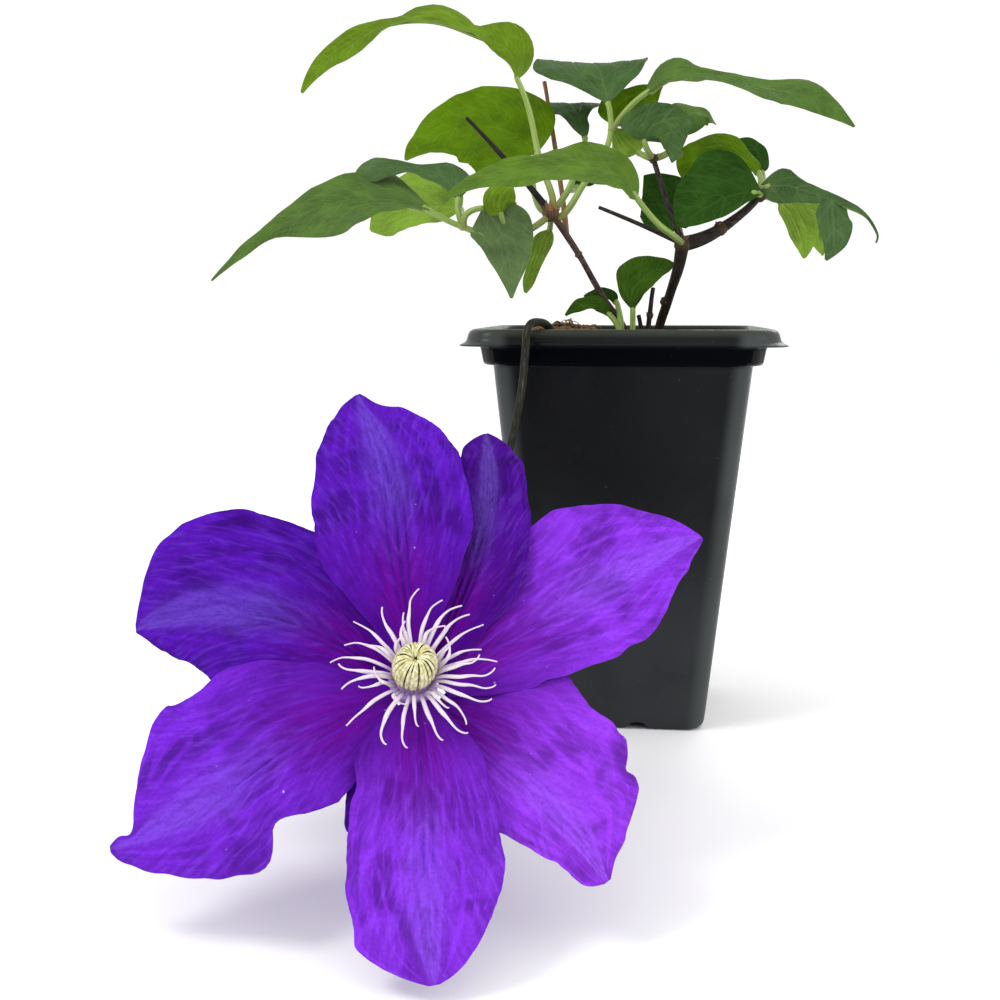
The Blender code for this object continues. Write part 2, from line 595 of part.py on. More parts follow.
# The sepals. A spine is in the bloom's own frame: to the right, up, and out towards the viewer. The
# half widths are those to the left and right of the way that the spine runs, at the stations. Layer
# 0 is in front, and each sepal lies behind the neighbours that overlap it.
SEPALS = {
    "sepal_top": dict(
        spine=[(-1, 5.1, 0), (-7, 33, 2), (-13, 58, 3), (-26.5, 91, -2)], layer=0, wave=1.5,
        left=(7.5, 13, 18, 20.5, 20.5, 20.5, 20, 18, 14.5, 12, 8.5, 5),
        right=(7.5, 12, 16.5, 19, 19.5, 19, 19, 17.5, 14, 10, 3.5, 1.5)),
    "sepal_top_right": dict(
        spine=[(2.2, 4.6, 0), (10, 30, 0), (13, 54, 1), (10, 80.5, -4)], layer=1, wave=1.2,
        left=(6, 10.5, 14, 15.5, 16, 15.5, 14.5, 13, 10.5, 8.5, 6.5, 4),
        right=(6, 9, 13, 13.5, 12.5, 12, 11, 10, 9, 7, 5, 2.5)),
    "sepal_right": dict(
        spine=[(4.6, 2.2, 0), (27, 19.5, 0), (48, 33, 1), (68, 47, -2)], layer=2, wave=1.6,
        left=(6, 12, 17, 20.5, 24, 25, 24.5, 22.5, 19, 16, 12.5, 6.5),
        right=(10, 14, 16, 18.5, 19.5, 19, 18, 15.5, 10, 7.5, 4.5, 2)),
    "sepal_lower_right": dict(
        spine=[(3.8, -3.4, 0), (21, -17, 0), (35, -30, 0), (46.5, -42.5, -3)], layer=3, wave=1.5,
        left=(13, 21, 26, 25, 24, 25, 24, 21.5, 18.5, 14, 6.5, 2.5),
        right=(9.5, 11.5, 12.5, 13.5, 13, 12.5, 11.5, 9.5, 7.5, 6, 5.5, 4)),
    "sepal_bottom": dict(
        spine=[(0.8, -5.1, 0), (5, -26, 1), (8, -48, 2), (12, -69, 0)], layer=0, wave=1.2,
        left=(8.5, 12.5, 14.5, 15.5, 16.5, 17, 17.5, 16.5, 14, 12, 8.5, 5),
        right=(11, 14.5, 15, 16.5, 16.5, 16, 16, 16.5, 15, 14.5, 10.5, 5)),
    "sepal_small": dict(
        spine=[(-1.6, -4.9, 0), (-6, -21, 0), (-11, -36, 0)], layer=1.8, wave=0.4,
        left=(3, 4.5, 6, 6.5, 7, 7, 6.5, 5.5, 4.5, 3.5, 2.5, 1.5),
        right=(3, 4.5, 6, 6.5, 7, 7, 6.5, 5.5, 4.5, 3.5, 2.5, 1.5)),
    "sepal_lower_left": dict(
        spine=[(-3.9, -3.3, 0), (-24, -14, 0), (-42, -30, 0), (-64.5, -42, -2)], layer=1, wave=1.6,
        left=(9, 14.5, 18.5, 17.5, 14.5, 15, 22, 19, 14, 11, 7.5, 4),
        right=(10, 17, 22, 26.5, 26, 27, 27, 26, 19.5, 14.5, 2.5, 2)),
    "sepal_left": dict(
        spine=[(-5.1, 1.6, 0), (-28, 16, 0), (-50, 21, -1), (-75, 17.5, -5)], layer=2.4, wave=1.6,
        left=(6.5, 11, 15, 18, 20, 21, 21, 17.5, 13, 10.5, 7, 3),
        right=(6, 12, 17.5, 22.5, 27, 28.5, 29.5, 31, 29, 27.5, 23, 11)),
}

# The stamens: the way each one points, in degrees from the bloom's right, its reach from the bloom's
# axis, and how many degrees its tip curls on
STAMENS = [
    (12, 19, -5), (3, 15, 8), (350, 18.5, 8), (342, 19.5, 5), (330, 20, 6), (320, 19, -5), (309, 13.5, 2),
    (304, 21.5, 5), (292, 19.5, 3), (276, 15.5, 3), (265, 20, 6), (248, 20.5, 9), (227, 21, 2),
    (208, 13.5, -4), (195, 17.5, 7), (183, 18, -5), (168, 20, 8), (153, 18, 9), (149, 13.5, 6),
    (140, 20, 3), (126, 18.5, -4), (118, 12, -9), (110, 15, -3), (103, 20.5, -8), (86, 18.5, -9),
    (80, 12.5, -16), (72, 19, -10), (61, 19, -7), (57, 12.5, 4), (41, 18.5, -4), (33, 10, 6), (26, 16, -5),
    (237, 9, 24), (214, 9.5, -26), (18, 10, 28), (132, 10, -22),
]


def leaf_widths(shares, blade):
    """A leaf's half widths to its left and right: through those at its stations, or by its profile.

    The profile is rounded at the base and drawn out at the tip.
    """
    if "left" in blade:
        ends = (TIP_HALF_WIDTH, TIP_HALF_WIDTH)
        values = [ends, *zip(blade["left"], blade["right"]), ends]
        return np.maximum(TIP_HALF_WIDTH, flow((0, *LEAF_STATIONS, 1), values, shares))
    rise, fall = blade.get("profile", LEAF_PROFILE)
    peak = rise / (rise + fall)
    highest = peak**rise * (1 - peak) ** fall
    width = blade["half_width"] * shares**rise * (1 - shares) ** fall / highest
    return np.maximum(TIP_HALF_WIDTH, np.stack([width, width], axis=1))


def sepal_widths(shares, left, right):
    """A sepal's half widths to the left and right of its spine, through those at its stations."""
    values = [(SEPAL_CLAW, SEPAL_CLAW), *zip(left, right), (TIP_HALF_WIDTH, TIP_HALF_WIDTH)]
    return np.maximum(TIP_HALF_WIDTH, flow((0, *SEPAL_STATIONS, 1), values, shares))


def blade_points(shares, sides, widths, spine, face, fold=0, wave=0, lobe=0, quiet=0):
    """The blade's surface: one row for each share of its length, one column for each side value.

    The face turns through the given ones from base to tip. The fold lifts both halves, the wave
    ripples the margins, beyond the quiet share, and the lobe draws the base back past its stalk.
    """
    places = path_at(spine, shares)
    fine = np.linspace(0, 1, 60)
    ahead = unit(np.gradient(path_at(spine, fine), axis=0))
    along = unit(np.stack([np.interp(shares, fine, ahead[:, i]) for i in range(3)], axis=1))
    turns = np.linspace(0, 1, len(face))
    up = unit(np.stack([np.interp(shares, turns, unit(face)[:, i]) for i in range(3)], axis=1))
    across = unit(np.cross(along, up))
    normal = np.cross(across, along)[:, None]
    side = sides[None, :, None]
    share = shares[:, None, None]
    width = np.where(side < 0, widths[:, :1, None], widths[:, 1:, None])
    bend = math.radians(fold)
    phase = sum(spine[0]) % 6
    ripple = np.sin(2 * math.pi * 2.3 * share + phase + 1.9 * np.sign(side)) * side**2
    envelope = np.sin(math.pi * np.clip((share - quiet) / (1 - quiet), 0, 1)) ** 0.7
    lift = np.abs(side) * width * math.sin(bend) + wave * ripple * envelope
    back = lobe * np.abs(side) ** 1.5 * (1 - share) ** 4
    out = side * width * math.cos(bend) * across[:, None]
    return places[:, None] + out + lift * normal - back * along[:, None]


def make_blade(name, rows, columns, thickness, widths, **shape):
    """A waved blade of even thickness, split into triangles alike on both faces."""
    shares = BLADE_END + (1 - 2 * BLADE_END) * (1 - np.cos(np.linspace(0, 1, rows + 1) * math.pi)) / 2
    places = blade_points(shares, np.linspace(-1, 1, columns + 1), widths(shares), **shape)
    bm = bmesh.new()
    bmesh.ops.create_grid(bm, x_segments=rows, y_segments=columns, size=1.0)
    for vert in bm.verts:
        row = round((vert.co.x + 1) / 2 * rows)
        column = round((vert.co.y + 1) / 2 * columns)
        vert.co = places[row, column]
    bmesh.ops.triangulate(bm, faces=bm.faces, quad_method="FIXED")
    blade = object_from(name, bm)
    shell = blade.modifiers.new("thickness", "SOLIDIFY")
    shell.thickness = thickness * MM
    shell.offset = 0
    return baked(blade)


def leaf_blade(name, **blade):
    """A leaf's blade, with more rows on a larger one."""
    form = {key: value for key, value in blade.items() if key not in BLADE_WIDTHS}
    greatest = max((*blade.get("left", ()), *blade.get("right", ()), blade.get("half_width", 0)))
    rows = 11 if greatest > LARGE_BLADE else 9 if greatest > MIDDLE_BLADE else 6
    return make_blade(name, rows, 4, BLADE_THICKNESS, lambda shares: leaf_widths(shares, blade), **form)


def make_stem(name, stretches, knobs, extra=0.0):
    """A woody stem's stretches and nodes, as loose solids, each thicker by the extra."""
    pieces = []
    for i, (points, radii) in enumerate(stretches):
        count = 1 + len(points) * 3 // 2
        pieces.append(tube(f"{name}_{i}", points, [r + extra for r in radii], count))
    for i, (centre, radius) in enumerate(knobs):
        pieces.append(knob(f"{name}_knob_{i}", centre, radius + extra))
    return pieces


def petiole(name, points, blades):
    """A leaf's stalk, sunk a little way into the blade that starts where it ends."""
    carried = [blade for blade in blades if blade["spine"][0] == points[-1]]
    if carried:
        points = [*points, *path_at(carried[0]["spine"], np.array([STALK_OVERLAP]))]
    return tube(name, points, PETIOLE_RADIUS, count=1 + len(points))


def make_leaf(name, stalks, blades):
    """A leaf: its petioles and blades in one body, cut clear of the stems that carry it."""
    pieces = [petiole(f"{name}_stalk_{i}", points, blades) for i, points in enumerate(stalks)]
    pieces += [leaf_blade(f"{name}_blade_{i}", **blade) for i, blade in enumerate(blades)]
    leaf = combined(pieces[0], pieces[1:], "UNION")
    cutters = []
    for stem in ("stem_left", "stem_right"):
        cutters += make_stem(f"{stem}_cutter", extra=CUT_CLEARANCE, **STEMS[stem])
    leaf.name = name
    return combined(leaf, cutters, "DIFFERENCE")


def bloom_matrix():
    """The bloom's own frame: right, up in its face, and out towards the viewer."""
    out = Vector((0, -math.cos(BLOOM_LEAN), math.sin(BLOOM_LEAN)))
    right = Vector((1, 0, 0))
    up = out.cross(right)
    turn = Matrix((right, up, out)).transposed().to_4x4()
    return Matrix.Translation(Vector(BLOOM_CENTRE)) @ turn


def in_bloom(point):
    """A point of the bloom's own frame, in the part's frame."""
    return tuple(bloom_matrix() @ Vector(point))


def make_sepal(name, spine, layer, wave, left, right):
    """One sepal, its claw beside the receptacle and its layer behind those in front of it."""
    depth = -1.0 - LAYER * layer
    places = [in_bloom((across, up, out + depth)) for across, up, out in spine]
    out = tuple(bloom_matrix().to_3x3() @ Vector((0, 0, 1)))
    rows = 14 if max(left) > 10 else 8
    return make_blade(
        name, rows, 4, SEPAL_THICKNESS,
        lambda shares: sepal_widths(shares, left, right),
        spine=places, face=(out, out), fold=3, wave=wave, quiet=0.3,
    )


def ring_of(radius, out, count):
    """A circle of points round the bloom's axis."""
    turns = [i / count * 2 * math.pi for i in range(count)]
    return [in_bloom((radius * math.cos(a), radius * math.sin(a), out)) for a in turns]


def make_bloom_stalk():
    """The long stalk of the bloom with the receptacle that carries its sepals."""
    back = -RECEPTACLE_DEPTH
    route = rooted(STALK_ROUTE) + [in_bloom((0, -1.5, back - 7)), in_bloom((0, 0, back + 2))]
    stalk = tube("bloom_stalk", route, STALK_RADII, count=28, sides=6)
    profile = [
        (1.2, back - 2.5), (2.6, back - 0.8), (RECEPTACLE_RADIUS, back + 0.6), (RECEPTACLE_RADIUS, -0.6),
        (RECEPTACLE_RADIUS - 0.6, 0.0),
    ]
    cup = loft("receptacle", [ring_of(radius, out, 20) for radius, out in profile])
    return combined(stalk, [cup], "UNION")


def leaning(radius, angle, out):
    """A point round the axis of the bloom's middle, which leans a little to the right and up."""
    across = radius * math.cos(angle) + MIDDLE_LEAN[0] * out
    up = radius * math.sin(angle) + MIDDLE_LEAN[1] * out
    return in_bloom((across, up, out))


def make_stamens():
    """The stamens: filaments in a loose wheel with curling tips, all rooted in one ring."""
    draw = random.Random(SEED)
    ring = [(3.1, 0.3), (5.2, 0.3), (5.8, 0.9), (5.0, 1.7), (3.1, 1.9)]
    bm = bmesh.new()
    rows = []
    for radius, out in ring:
        rows.append([bm.verts.new(point) for point in ring_of(radius, out, STAMEN_RING_SIDES)])
    for low, high in zip(rows, rows[1:] + rows[:1]):
        for i in range(STAMEN_RING_SIDES):
            j = (i + 1) % STAMEN_RING_SIDES
            bm.faces.new((low[i], low[j], high[j], high[i]))
    base = object_from("stamens", bm)
    filaments = []
    for i, (way, reach, curl) in enumerate(STAMENS):
        angle = math.radians(way)
        curl = math.radians(curl)
        rise = draw.uniform(3.4, 5.8)
        kink = draw.uniform(-0.015, 0.015)
        steps = [
            (0.36, 0.0, 1.4 + 0.5 * rise), (0.58, kink, 1.3 + 0.8 * rise),
            (0.74, 0.1 * curl - kink, 1.2 + 0.95 * rise), (0.88, 0.4 * curl, 1.1 + 0.95 * rise),
            (0.96, 0.8 * curl, 1.0 + 1.0 * rise), (1.0, 1.15 * curl, 1.0 + 1.1 * rise),
        ]
        points = [leaning(STAMEN_FOOT, angle, 1.4)]
        for share, swing, out in steps:
            points.append(leaning(max(5.2 + 3.8 * share, share * reach), angle + swing, out))
        stout = draw.uniform(0.85, 1.12)
        radii = [stout * radius for radius in STAMEN_RADII]
        filaments.append(tube(f"filament_{i}", points, radii, count=4, sides=4))
    return combined(base, filaments, "UNION")


def make_styles():
    """The dome of styles at the bloom's middle: close ribs that meet over a narrow foot."""
    profile = [
        (2.4, 0.3), (2.5, 2.3), (3.9, 3.1), (4.8, 4.7), (4.95, 6.4), (4.7, 8.2), (3.9, 9.8),
        (2.6, 10.9), (1.1, 10.5),
    ]
    rings = []
    for radius, out in profile:
        ribbed = STYLE_RIB_DEPTH if out > STYLE_FOOT else 0.0
        ring = []
        for i in range(2 * STYLE_RIBS):
            size = radius * (1 + (ribbed if i % 2 else -ribbed))
            ring.append(leaning(size, i / (2 * STYLE_RIBS) * 2 * math.pi, out))
        rings.append(ring)
    return loft("styles", rings)


def dress(obj, made):
    """Gives an object its one material and smooth shading with sharp edges kept."""
    obj.data.materials.clear()
    obj.data.materials.append(made)
    obj.data.shade_smooth()
    obj.data.set_sharp_from_angle(angle=math.radians(40))


for old in list(bpy.data.objects):
    bpy.data.objects.remove(old, do_unlink=True)
MODEL = bpy.data.collections.new("potted_clematis")
bpy.context.scene.collection.children.link(MODEL)

MATERIALS = {
    "pot": material("pot", (0.012, 0.014, 0.014), 0.42),
    "soil": material("soil", (0.075, 0.042, 0.022), 0.95),
    "bark": material("bark", (0.10, 0.055, 0.04), 0.8),
    "leaf_bright": material("leaf_bright", (0.16, 0.40, 0.07), 0.45),
    "leaf_dark": material("leaf_dark", (0.045, 0.16, 0.04), 0.45),
    "leaf_pale": material("leaf_pale", (0.30, 0.55, 0.12), 0.5),
    "stalk": material("stalk", (0.06, 0.045, 0.03), 0.55),
    "sepal": material("sepal", (0.16, 0.02, 0.62), 0.6),
    "stamen": material("stamen", (0.85, 0.72, 0.85), 0.6),
    "style": material("style", (0.85, 0.78, 0.38), 0.6),
}

planted = [(stem["stretches"][0][0], stem["stretches"][0][1][0]) for stem in STEMS.values()]
planted += [(LEAVES[name]["stalks"][0], PETIOLE_RADIUS[0]) for name in ("leaf_basal", "shoot_small")]
planted += [(rooted(STALK_ROUTE), STALK_RADII[0])]
stakes = [(points[0][0], points[0][1], radius + HOLE_CLEARANCE) for points, radius in planted]

dress(make_pot(), MATERIALS["pot"])
dress(make_soil(stakes), MATERIALS["soil"])
for name, stem in STEMS.items():
    parts = make_stem(name, **stem)
    body = combined(parts[0], parts[1:], "UNION") if len(parts) > 1 else parts[0]
    body.name = name
    dress(body, MATERIALS["bark"])
for name, leaf in LEAVES.items():
    body = make_leaf(name, leaf["stalks"], leaf["blades"])
    body.name = name
    dress(body, MATERIALS[leaf["colour"]])
dress(make_bloom_stalk(), MATERIALS["stalk"])
for name, sepal in SEPALS.items():
    dress(make_sepal(name, **sepal), MATERIALS["sepal"])
dress(make_stamens(), MATERIALS["stamen"])
dress(make_styles(), MATERIALS["style"])
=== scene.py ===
"""The looks of a potted clematis: foliage, bloom, bark, soil and pot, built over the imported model.

Places in the tables are in millimetres, as in the model's own source. They become metres where a mesh
is made. The origin is the centre of the pot's underside, and the pot's front faces -Y.
"""

import json
import math
import random

import bmesh
import bpy
import numpy as np
from mathutils import Matrix, Vector

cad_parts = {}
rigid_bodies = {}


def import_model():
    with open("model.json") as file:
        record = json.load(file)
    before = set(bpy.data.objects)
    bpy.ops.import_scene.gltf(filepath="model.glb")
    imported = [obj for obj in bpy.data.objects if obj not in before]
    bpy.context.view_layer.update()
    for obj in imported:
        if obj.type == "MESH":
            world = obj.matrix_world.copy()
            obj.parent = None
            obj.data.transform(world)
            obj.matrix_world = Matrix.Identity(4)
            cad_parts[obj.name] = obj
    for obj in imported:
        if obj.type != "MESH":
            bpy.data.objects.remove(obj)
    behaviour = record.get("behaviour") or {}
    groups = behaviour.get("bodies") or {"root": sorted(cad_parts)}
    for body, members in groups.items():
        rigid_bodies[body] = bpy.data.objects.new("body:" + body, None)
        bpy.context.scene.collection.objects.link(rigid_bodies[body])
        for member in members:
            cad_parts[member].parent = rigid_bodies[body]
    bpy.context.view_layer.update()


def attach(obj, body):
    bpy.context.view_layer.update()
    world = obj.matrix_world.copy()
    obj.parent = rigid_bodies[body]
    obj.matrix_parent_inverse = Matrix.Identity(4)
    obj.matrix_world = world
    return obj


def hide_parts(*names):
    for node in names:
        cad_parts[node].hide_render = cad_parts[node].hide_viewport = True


MM = 0.001
GOLDEN_TURN = math.radians(137.5)

# The camera that the photograph was taken with, read from the pot
CAMERA_PLACE = (5.0, -451.0, 140.0)
CAMERA_LEFT = math.radians(6.01)
CAMERA_DOWN = math.radians(8.45)
CAMERA_LENS = 46.93
SENSOR_WIDTH = 36.0

# The pot
POT_HEIGHT = 133.0
LIP_HALF = 51.0
BODY_TOP_HALF = 41.0
BODY_TOP_Z = 121.5
BASE_HALF = 29.0
WALL = 1.3
FLOOR = 1.5
CORNER_STEPS = 12
POT_SHARP = 50
DRAIN_HOLE_RADIUS = 3.5
DRAIN_HOLE_OFFSET = 13.0
NOTCH_RADIUS = 4.2
NOTCH_RISE = 2.8
NOTCH_OFFSET = 6.6
BAND_HALF = 43.2
BAND_TOP_Z = 128.3
CUT_SIDES = 48
CUT_DEPTH = 10.0

# The pot's rounded square sections, up the outside and down the inside: half width, height, corner radius
POT_SECTIONS = [
    (BASE_HALF - 2.4, 0.0, 4.6), (BASE_HALF - 1.5, 0.25, 5.4), (BASE_HALF - 0.7, 0.85, 6.0),
    (BASE_HALF - 0.2, 1.7, 6.3), (BASE_HALF + 0.1, 3.0, 6.5),
    (BODY_TOP_HALF - 0.05, BODY_TOP_Z - 0.6, 7.6), (BODY_TOP_HALF + 0.15, BODY_TOP_Z - 0.15, 7.7),
    (BODY_TOP_HALF + 0.7, BODY_TOP_Z + 0.05, 8.0), (43.0, BODY_TOP_Z + 0.15, 8.6),
    (43.7, BODY_TOP_Z + 0.45, 8.8), (44.1, BODY_TOP_Z + 1.2, 8.9), (44.8, POT_HEIGHT - 6.4, 9.2),
    (45.1, POT_HEIGHT - 5.6, 9.3), (45.8, POT_HEIGHT - 5.3, 9.4), (50.4, POT_HEIGHT - 5.35, 10.3),
    (50.9, POT_HEIGHT - 5.25, 10.4), (LIP_HALF, POT_HEIGHT - 5.0, 10.4), (50.6, POT_HEIGHT - 4.75, 10.3),
    (49.6, POT_HEIGHT - 4.3, 10.1), (49.0, POT_HEIGHT - 3.6, 10.0), (48.7, POT_HEIGHT - 2.6, 9.9),
    (48.4, POT_HEIGHT - 1.5, 9.8), (47.9, POT_HEIGHT - 0.7, 9.6), (47.2, POT_HEIGHT - 0.2, 9.4),
    (46.4, POT_HEIGHT, 9.1), (45.6, POT_HEIGHT - 0.15, 8.9), (45.0, POT_HEIGHT - 0.6, 8.7),
    (44.6, POT_HEIGHT - 1.4, 8.5), (44.2, POT_HEIGHT - 2.6, 8.4), (43.4, POT_HEIGHT - 6.4, 8.0),
    (42.8, BODY_TOP_Z + 2.2, 7.7), (42.2, BODY_TOP_Z + 1.4, 7.5), (39.9, BODY_TOP_Z + 0.6, 6.8),
    (BODY_TOP_HALF - WALL, BODY_TOP_Z - 1.2, 6.6), (BASE_HALF - WALL, FLOOR + 0.9, 5.3),
    (BASE_HALF - WALL - 0.3, FLOOR + 0.3, 5.0), (BASE_HALF - WALL - 1.0, FLOOR, 4.5),
]

# The soil: its sections up to its edge, and its mounds as centre, height and spread
SOIL_LEVEL = 125.5
SOIL_SECTIONS = [
    (BASE_HALF - WALL - 1.3, FLOOR + 0.4, 5.0), (BASE_HALF - WALL - 0.4, FLOOR + 1.2, 5.8),
    (BODY_TOP_HALF - WALL - 0.5, BODY_TOP_Z - 1.6, 7.6), (41.6, BODY_TOP_Z + 1.5, 10.0),
    (42.6, SOIL_LEVEL - 0.6, 10.4),
]
SOIL_MOUNDS = [((-22.0, 13.0), 7.6, 17.0), ((6.0, -6.0), 4.0, 20.0)]
SOIL_GRAIN = 0.7
SOIL_HALF = 42.0
SOIL_RING = 144
CRUMBS = 620
FIBRES = 210
ROOT_Z = 113.0

# Blades
BLADE_END = 0.004
TIP_HALF_WIDTH = 0.4
LEAF_THICKNESS = 0.42
LEAF_RELIEF = 0.28
LEAF_PROFILE = (0.50, 0.95)
LEAF_STATIONS = (0.1, 0.25, 0.4, 0.55, 0.7, 0.85)
LARGE_HALF_WIDTH = 10
SEPAL_THICKNESS = 0.5
SEPAL_RELIEF = 0.5
MIDRIB_REACH = 0.9
MIDRIB_SINK = 0.33
PETIOLE_RADIUS = (1.15, 0.9)

# A vein: where it runs from the midline (0) to the margin (1), its strength, and its half width in mm
LEAF_VEINS = [(0, 1, 0.42), (0.33, 0.7, 0.27), (-0.33, 0.7, 0.27), (0.66, 0.55, 0.22), (-0.66, 0.55, 0.22)]
SEPAL_VEINS = [(0, 1, 0.6), (0.12, 0.8, 0.5), (-0.12, 0.8, 0.5), (0.45, 0.25, 0.5), (-0.45, 0.25, 0.5)]

# The bloom: its centre on the receptacle, and how far its face leans back from facing forwards
BLOOM_CENTRE = np.array((-46.0, -159.5, 53.5))
BLOOM_LEAN = math.radians(45)
RECEPTACLE_RADIUS = 5.0
RECEPTACLE_DEPTH = 7.0
SEPAL_STATIONS = (0.1, 0.2, 0.3, 0.4, 0.5, 0.56, 0.62, 0.7, 0.8, 0.86, 0.92, 0.97)
SEPAL_CLAW = 5.0
LAYER = 1.9
STALK_RADII = (1.3, 1.2, 1.15, 1.15, 1.3)
MIDDLE_LEAN = (0.17, 0.03)
STAMEN_FOOT = 4.4
STYLES = 27

# A filament's radius: shares of its length, and mm. The radii of a papery scale and of a bud, from its foot
STAMEN_RADII = [(0, 0.46), (0.25, 0.5), (0.45, 0.54), (0.58, 0.5), (0.7, 0.3), (0.85, 0.23), (1, 0.2)]
SCALE_RADII = (0.5, 0.75, 0.9, 0.92, 0.85, 0.7, 0.5, 0.28, 0.06)
BUD_RADII = (0.26, 0.24, 0.19, 0.13, 0.07, 0.02)

LEFT_NODE = (-24, -16, 170)
RIGHT_NODE = (19, -16, 160)
TWIG_NODE = (9, -8, 188)
BRANCH_NODE = (44, -8, 176)

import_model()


def unit(vector):
    """The vector at length 1, along the last axis of an array."""
    vector = np.asarray(vector, float)
    return vector / np.linalg.norm(vector, axis=-1, keepdims=True)


def flow(knots, values, wanted):
    """Values at the wanted places, on a smooth curve through the values at the knots."""
    knots = np.asarray(knots, float)
    values = np.asarray(values, float)
    steps = np.diff(knots)
    slopes = np.empty_like(values)
    slopes[1:-1] = (values[2:] - values[:-2]) / (knots[2:] - knots[:-2])[:, None]
    slopes[0] = 2 * (values[1] - values[0]) / steps[0] - slopes[1]
    slopes[-1] = 2 * (values[-1] - values[-2]) / steps[-1] - slopes[-2]
    span = np.clip(np.searchsorted(knots, wanted, side="right") - 1, 0, len(steps) - 1)
    size = steps[span][:, None]
    u = (np.asarray(wanted, float) - knots[span])[:, None] / size
    return (
        (2 * u**3 - 3 * u**2 + 1) * values[span]
        + (u**3 - 2 * u**2 + u) * size * slopes[span]
        + (3 * u**2 - 2 * u**3) * values[span + 1]
        + (u**3 - u**2) * size * slopes[span + 1]
    )


def path_at(points, shares):
    """Places along a smooth curve through the points, at these shares of its length."""
    points = np.asarray(points, float)
    if len(points) == 2:
        shares = np.asarray(shares, float)[:, None]
        return points[0] * (1 - shares) + points[1] * shares
    steps = np.linalg.norm(np.diff(points, axis=0), axis=1)
    knots = np.concatenate([[0], np.cumsum(steps)])
    curve = flow(knots, points, np.linspace(0, knots[-1], 40 * len(points)))
    lengths = np.concatenate([[0], np.cumsum(np.linalg.norm(np.diff(curve, axis=0), axis=1))])
    wanted = np.asarray(shares, float) * lengths[-1]
    return np.stack([np.interp(wanted, lengths, curve[:, axis]) for axis in range(3)], axis=1)


def rough(seed, size):
    """A smooth irregular function of places, about -1 to 1, with features of this size in mm."""
    draw = np.random.default_rng(seed)
    ways = draw.normal(size=(10, 3)) * 1.8 / size
    starts = draw.uniform(0, 2 * math.pi, 10)
    return lambda places: np.sin(np.asarray(places) @ ways.T + starts).sum(-1) / math.sqrt(20)


class Shape:
    """The points, faces and surface marks of one piece, gathered from its parts.

    Each point carries two marks for the materials. The first is its share of the length, its side and
    how much it lies on a vein. The second is mm along, mm across, and 1 on an under side or a tint.
    """

    def __init__(self):
        self.points = []
        self.faces = []
        self.slots = []
        self.first = []
        self.second = []
        self.count = 0

    def add(self, points, faces, first, second, slot=0):
        """Adds a part, whose faces count its own points from 0."""
        self.points.append(points)
        for block in faces:
            self.faces.extend((block + self.count).tolist())
        self.slots.extend([slot] * (len(self.faces) - len(self.slots)))
        self.first.append(np.broadcast_to(first, points.shape))
        self.second.append(np.broadcast_to(second, points.shape))
        self.count += len(points)


def make_piece(node, shape, paints, sharp=55):
    """One smooth object from a shape. It replaces the model's node, and rides where that does."""
    name = f"{node}_fine"
    mesh = bpy.data.meshes.new(name)
    mesh.from_pydata((np.concatenate(shape.points) * MM).tolist(), [], shape.faces)
    for title, marks in (("blade", shape.first), ("span", shape.second)):
        layer = mesh.attributes.new(title, "FLOAT_VECTOR", "POINT")
        layer.data.foreach_set("vector", np.concatenate(marks).ravel())
    mesh.polygons.foreach_set("material_index", shape.slots)
    for paint in paints:
        mesh.materials.append(paint)
    bm = bmesh.new()
    bm.from_mesh(mesh)
    bmesh.ops.recalc_face_normals(bm, faces=bm.faces)
    bm.to_mesh(mesh)
    bm.free()
    mesh.shade_smooth()
    mesh.set_sharp_from_angle(angle=math.radians(sharp))
    piece = bpy.data.objects.new(name, mesh)
    bpy.context.scene.collection.objects.link(piece)
    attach(piece, "root")
    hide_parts(node)
    return piece


def sheet_faces(rows, columns):
    """Quads of a closed thin solid: its upper side, its under side and the edge between them."""
    grid = np.arange(rows * columns).reshape(rows, columns)
    upper = np.stack([grid[:-1, :-1], grid[:-1, 1:], grid[1:, 1:], grid[1:, :-1]], -1).reshape(-1, 4)
    rim = np.concatenate([grid[0], grid[1:, -1], grid[-1, -2::-1], grid[-2:0:-1, 0]])
    after = np.roll(rim, -1)
    edge = np.stack([rim, rim + grid.size, after + grid.size, after], -1)
    return [upper, upper[:, ::-1] + grid.size, edge]


def ring_faces(grid):
    """Quads between the rows of a grid of point numbers. Each row is a closed ring."""
    low, high = grid[:-1], grid[1:]
    return np.stack([low, np.roll(low, -1, 1), np.roll(high, -1, 1), high], -1).reshape(-1, 4)


def loft_faces(rings, count):
    """Quads between rings of this many points, with a cap at each end."""
    grid = np.arange(rings * count).reshape(rings, count)
    return [ring_faces(grid), grid[0][None, ::-1], grid[-1][None]]


def turns_of(count):
    """Angles spread evenly round a full turn."""
    return np.arange(count) / count * 2 * math.pi


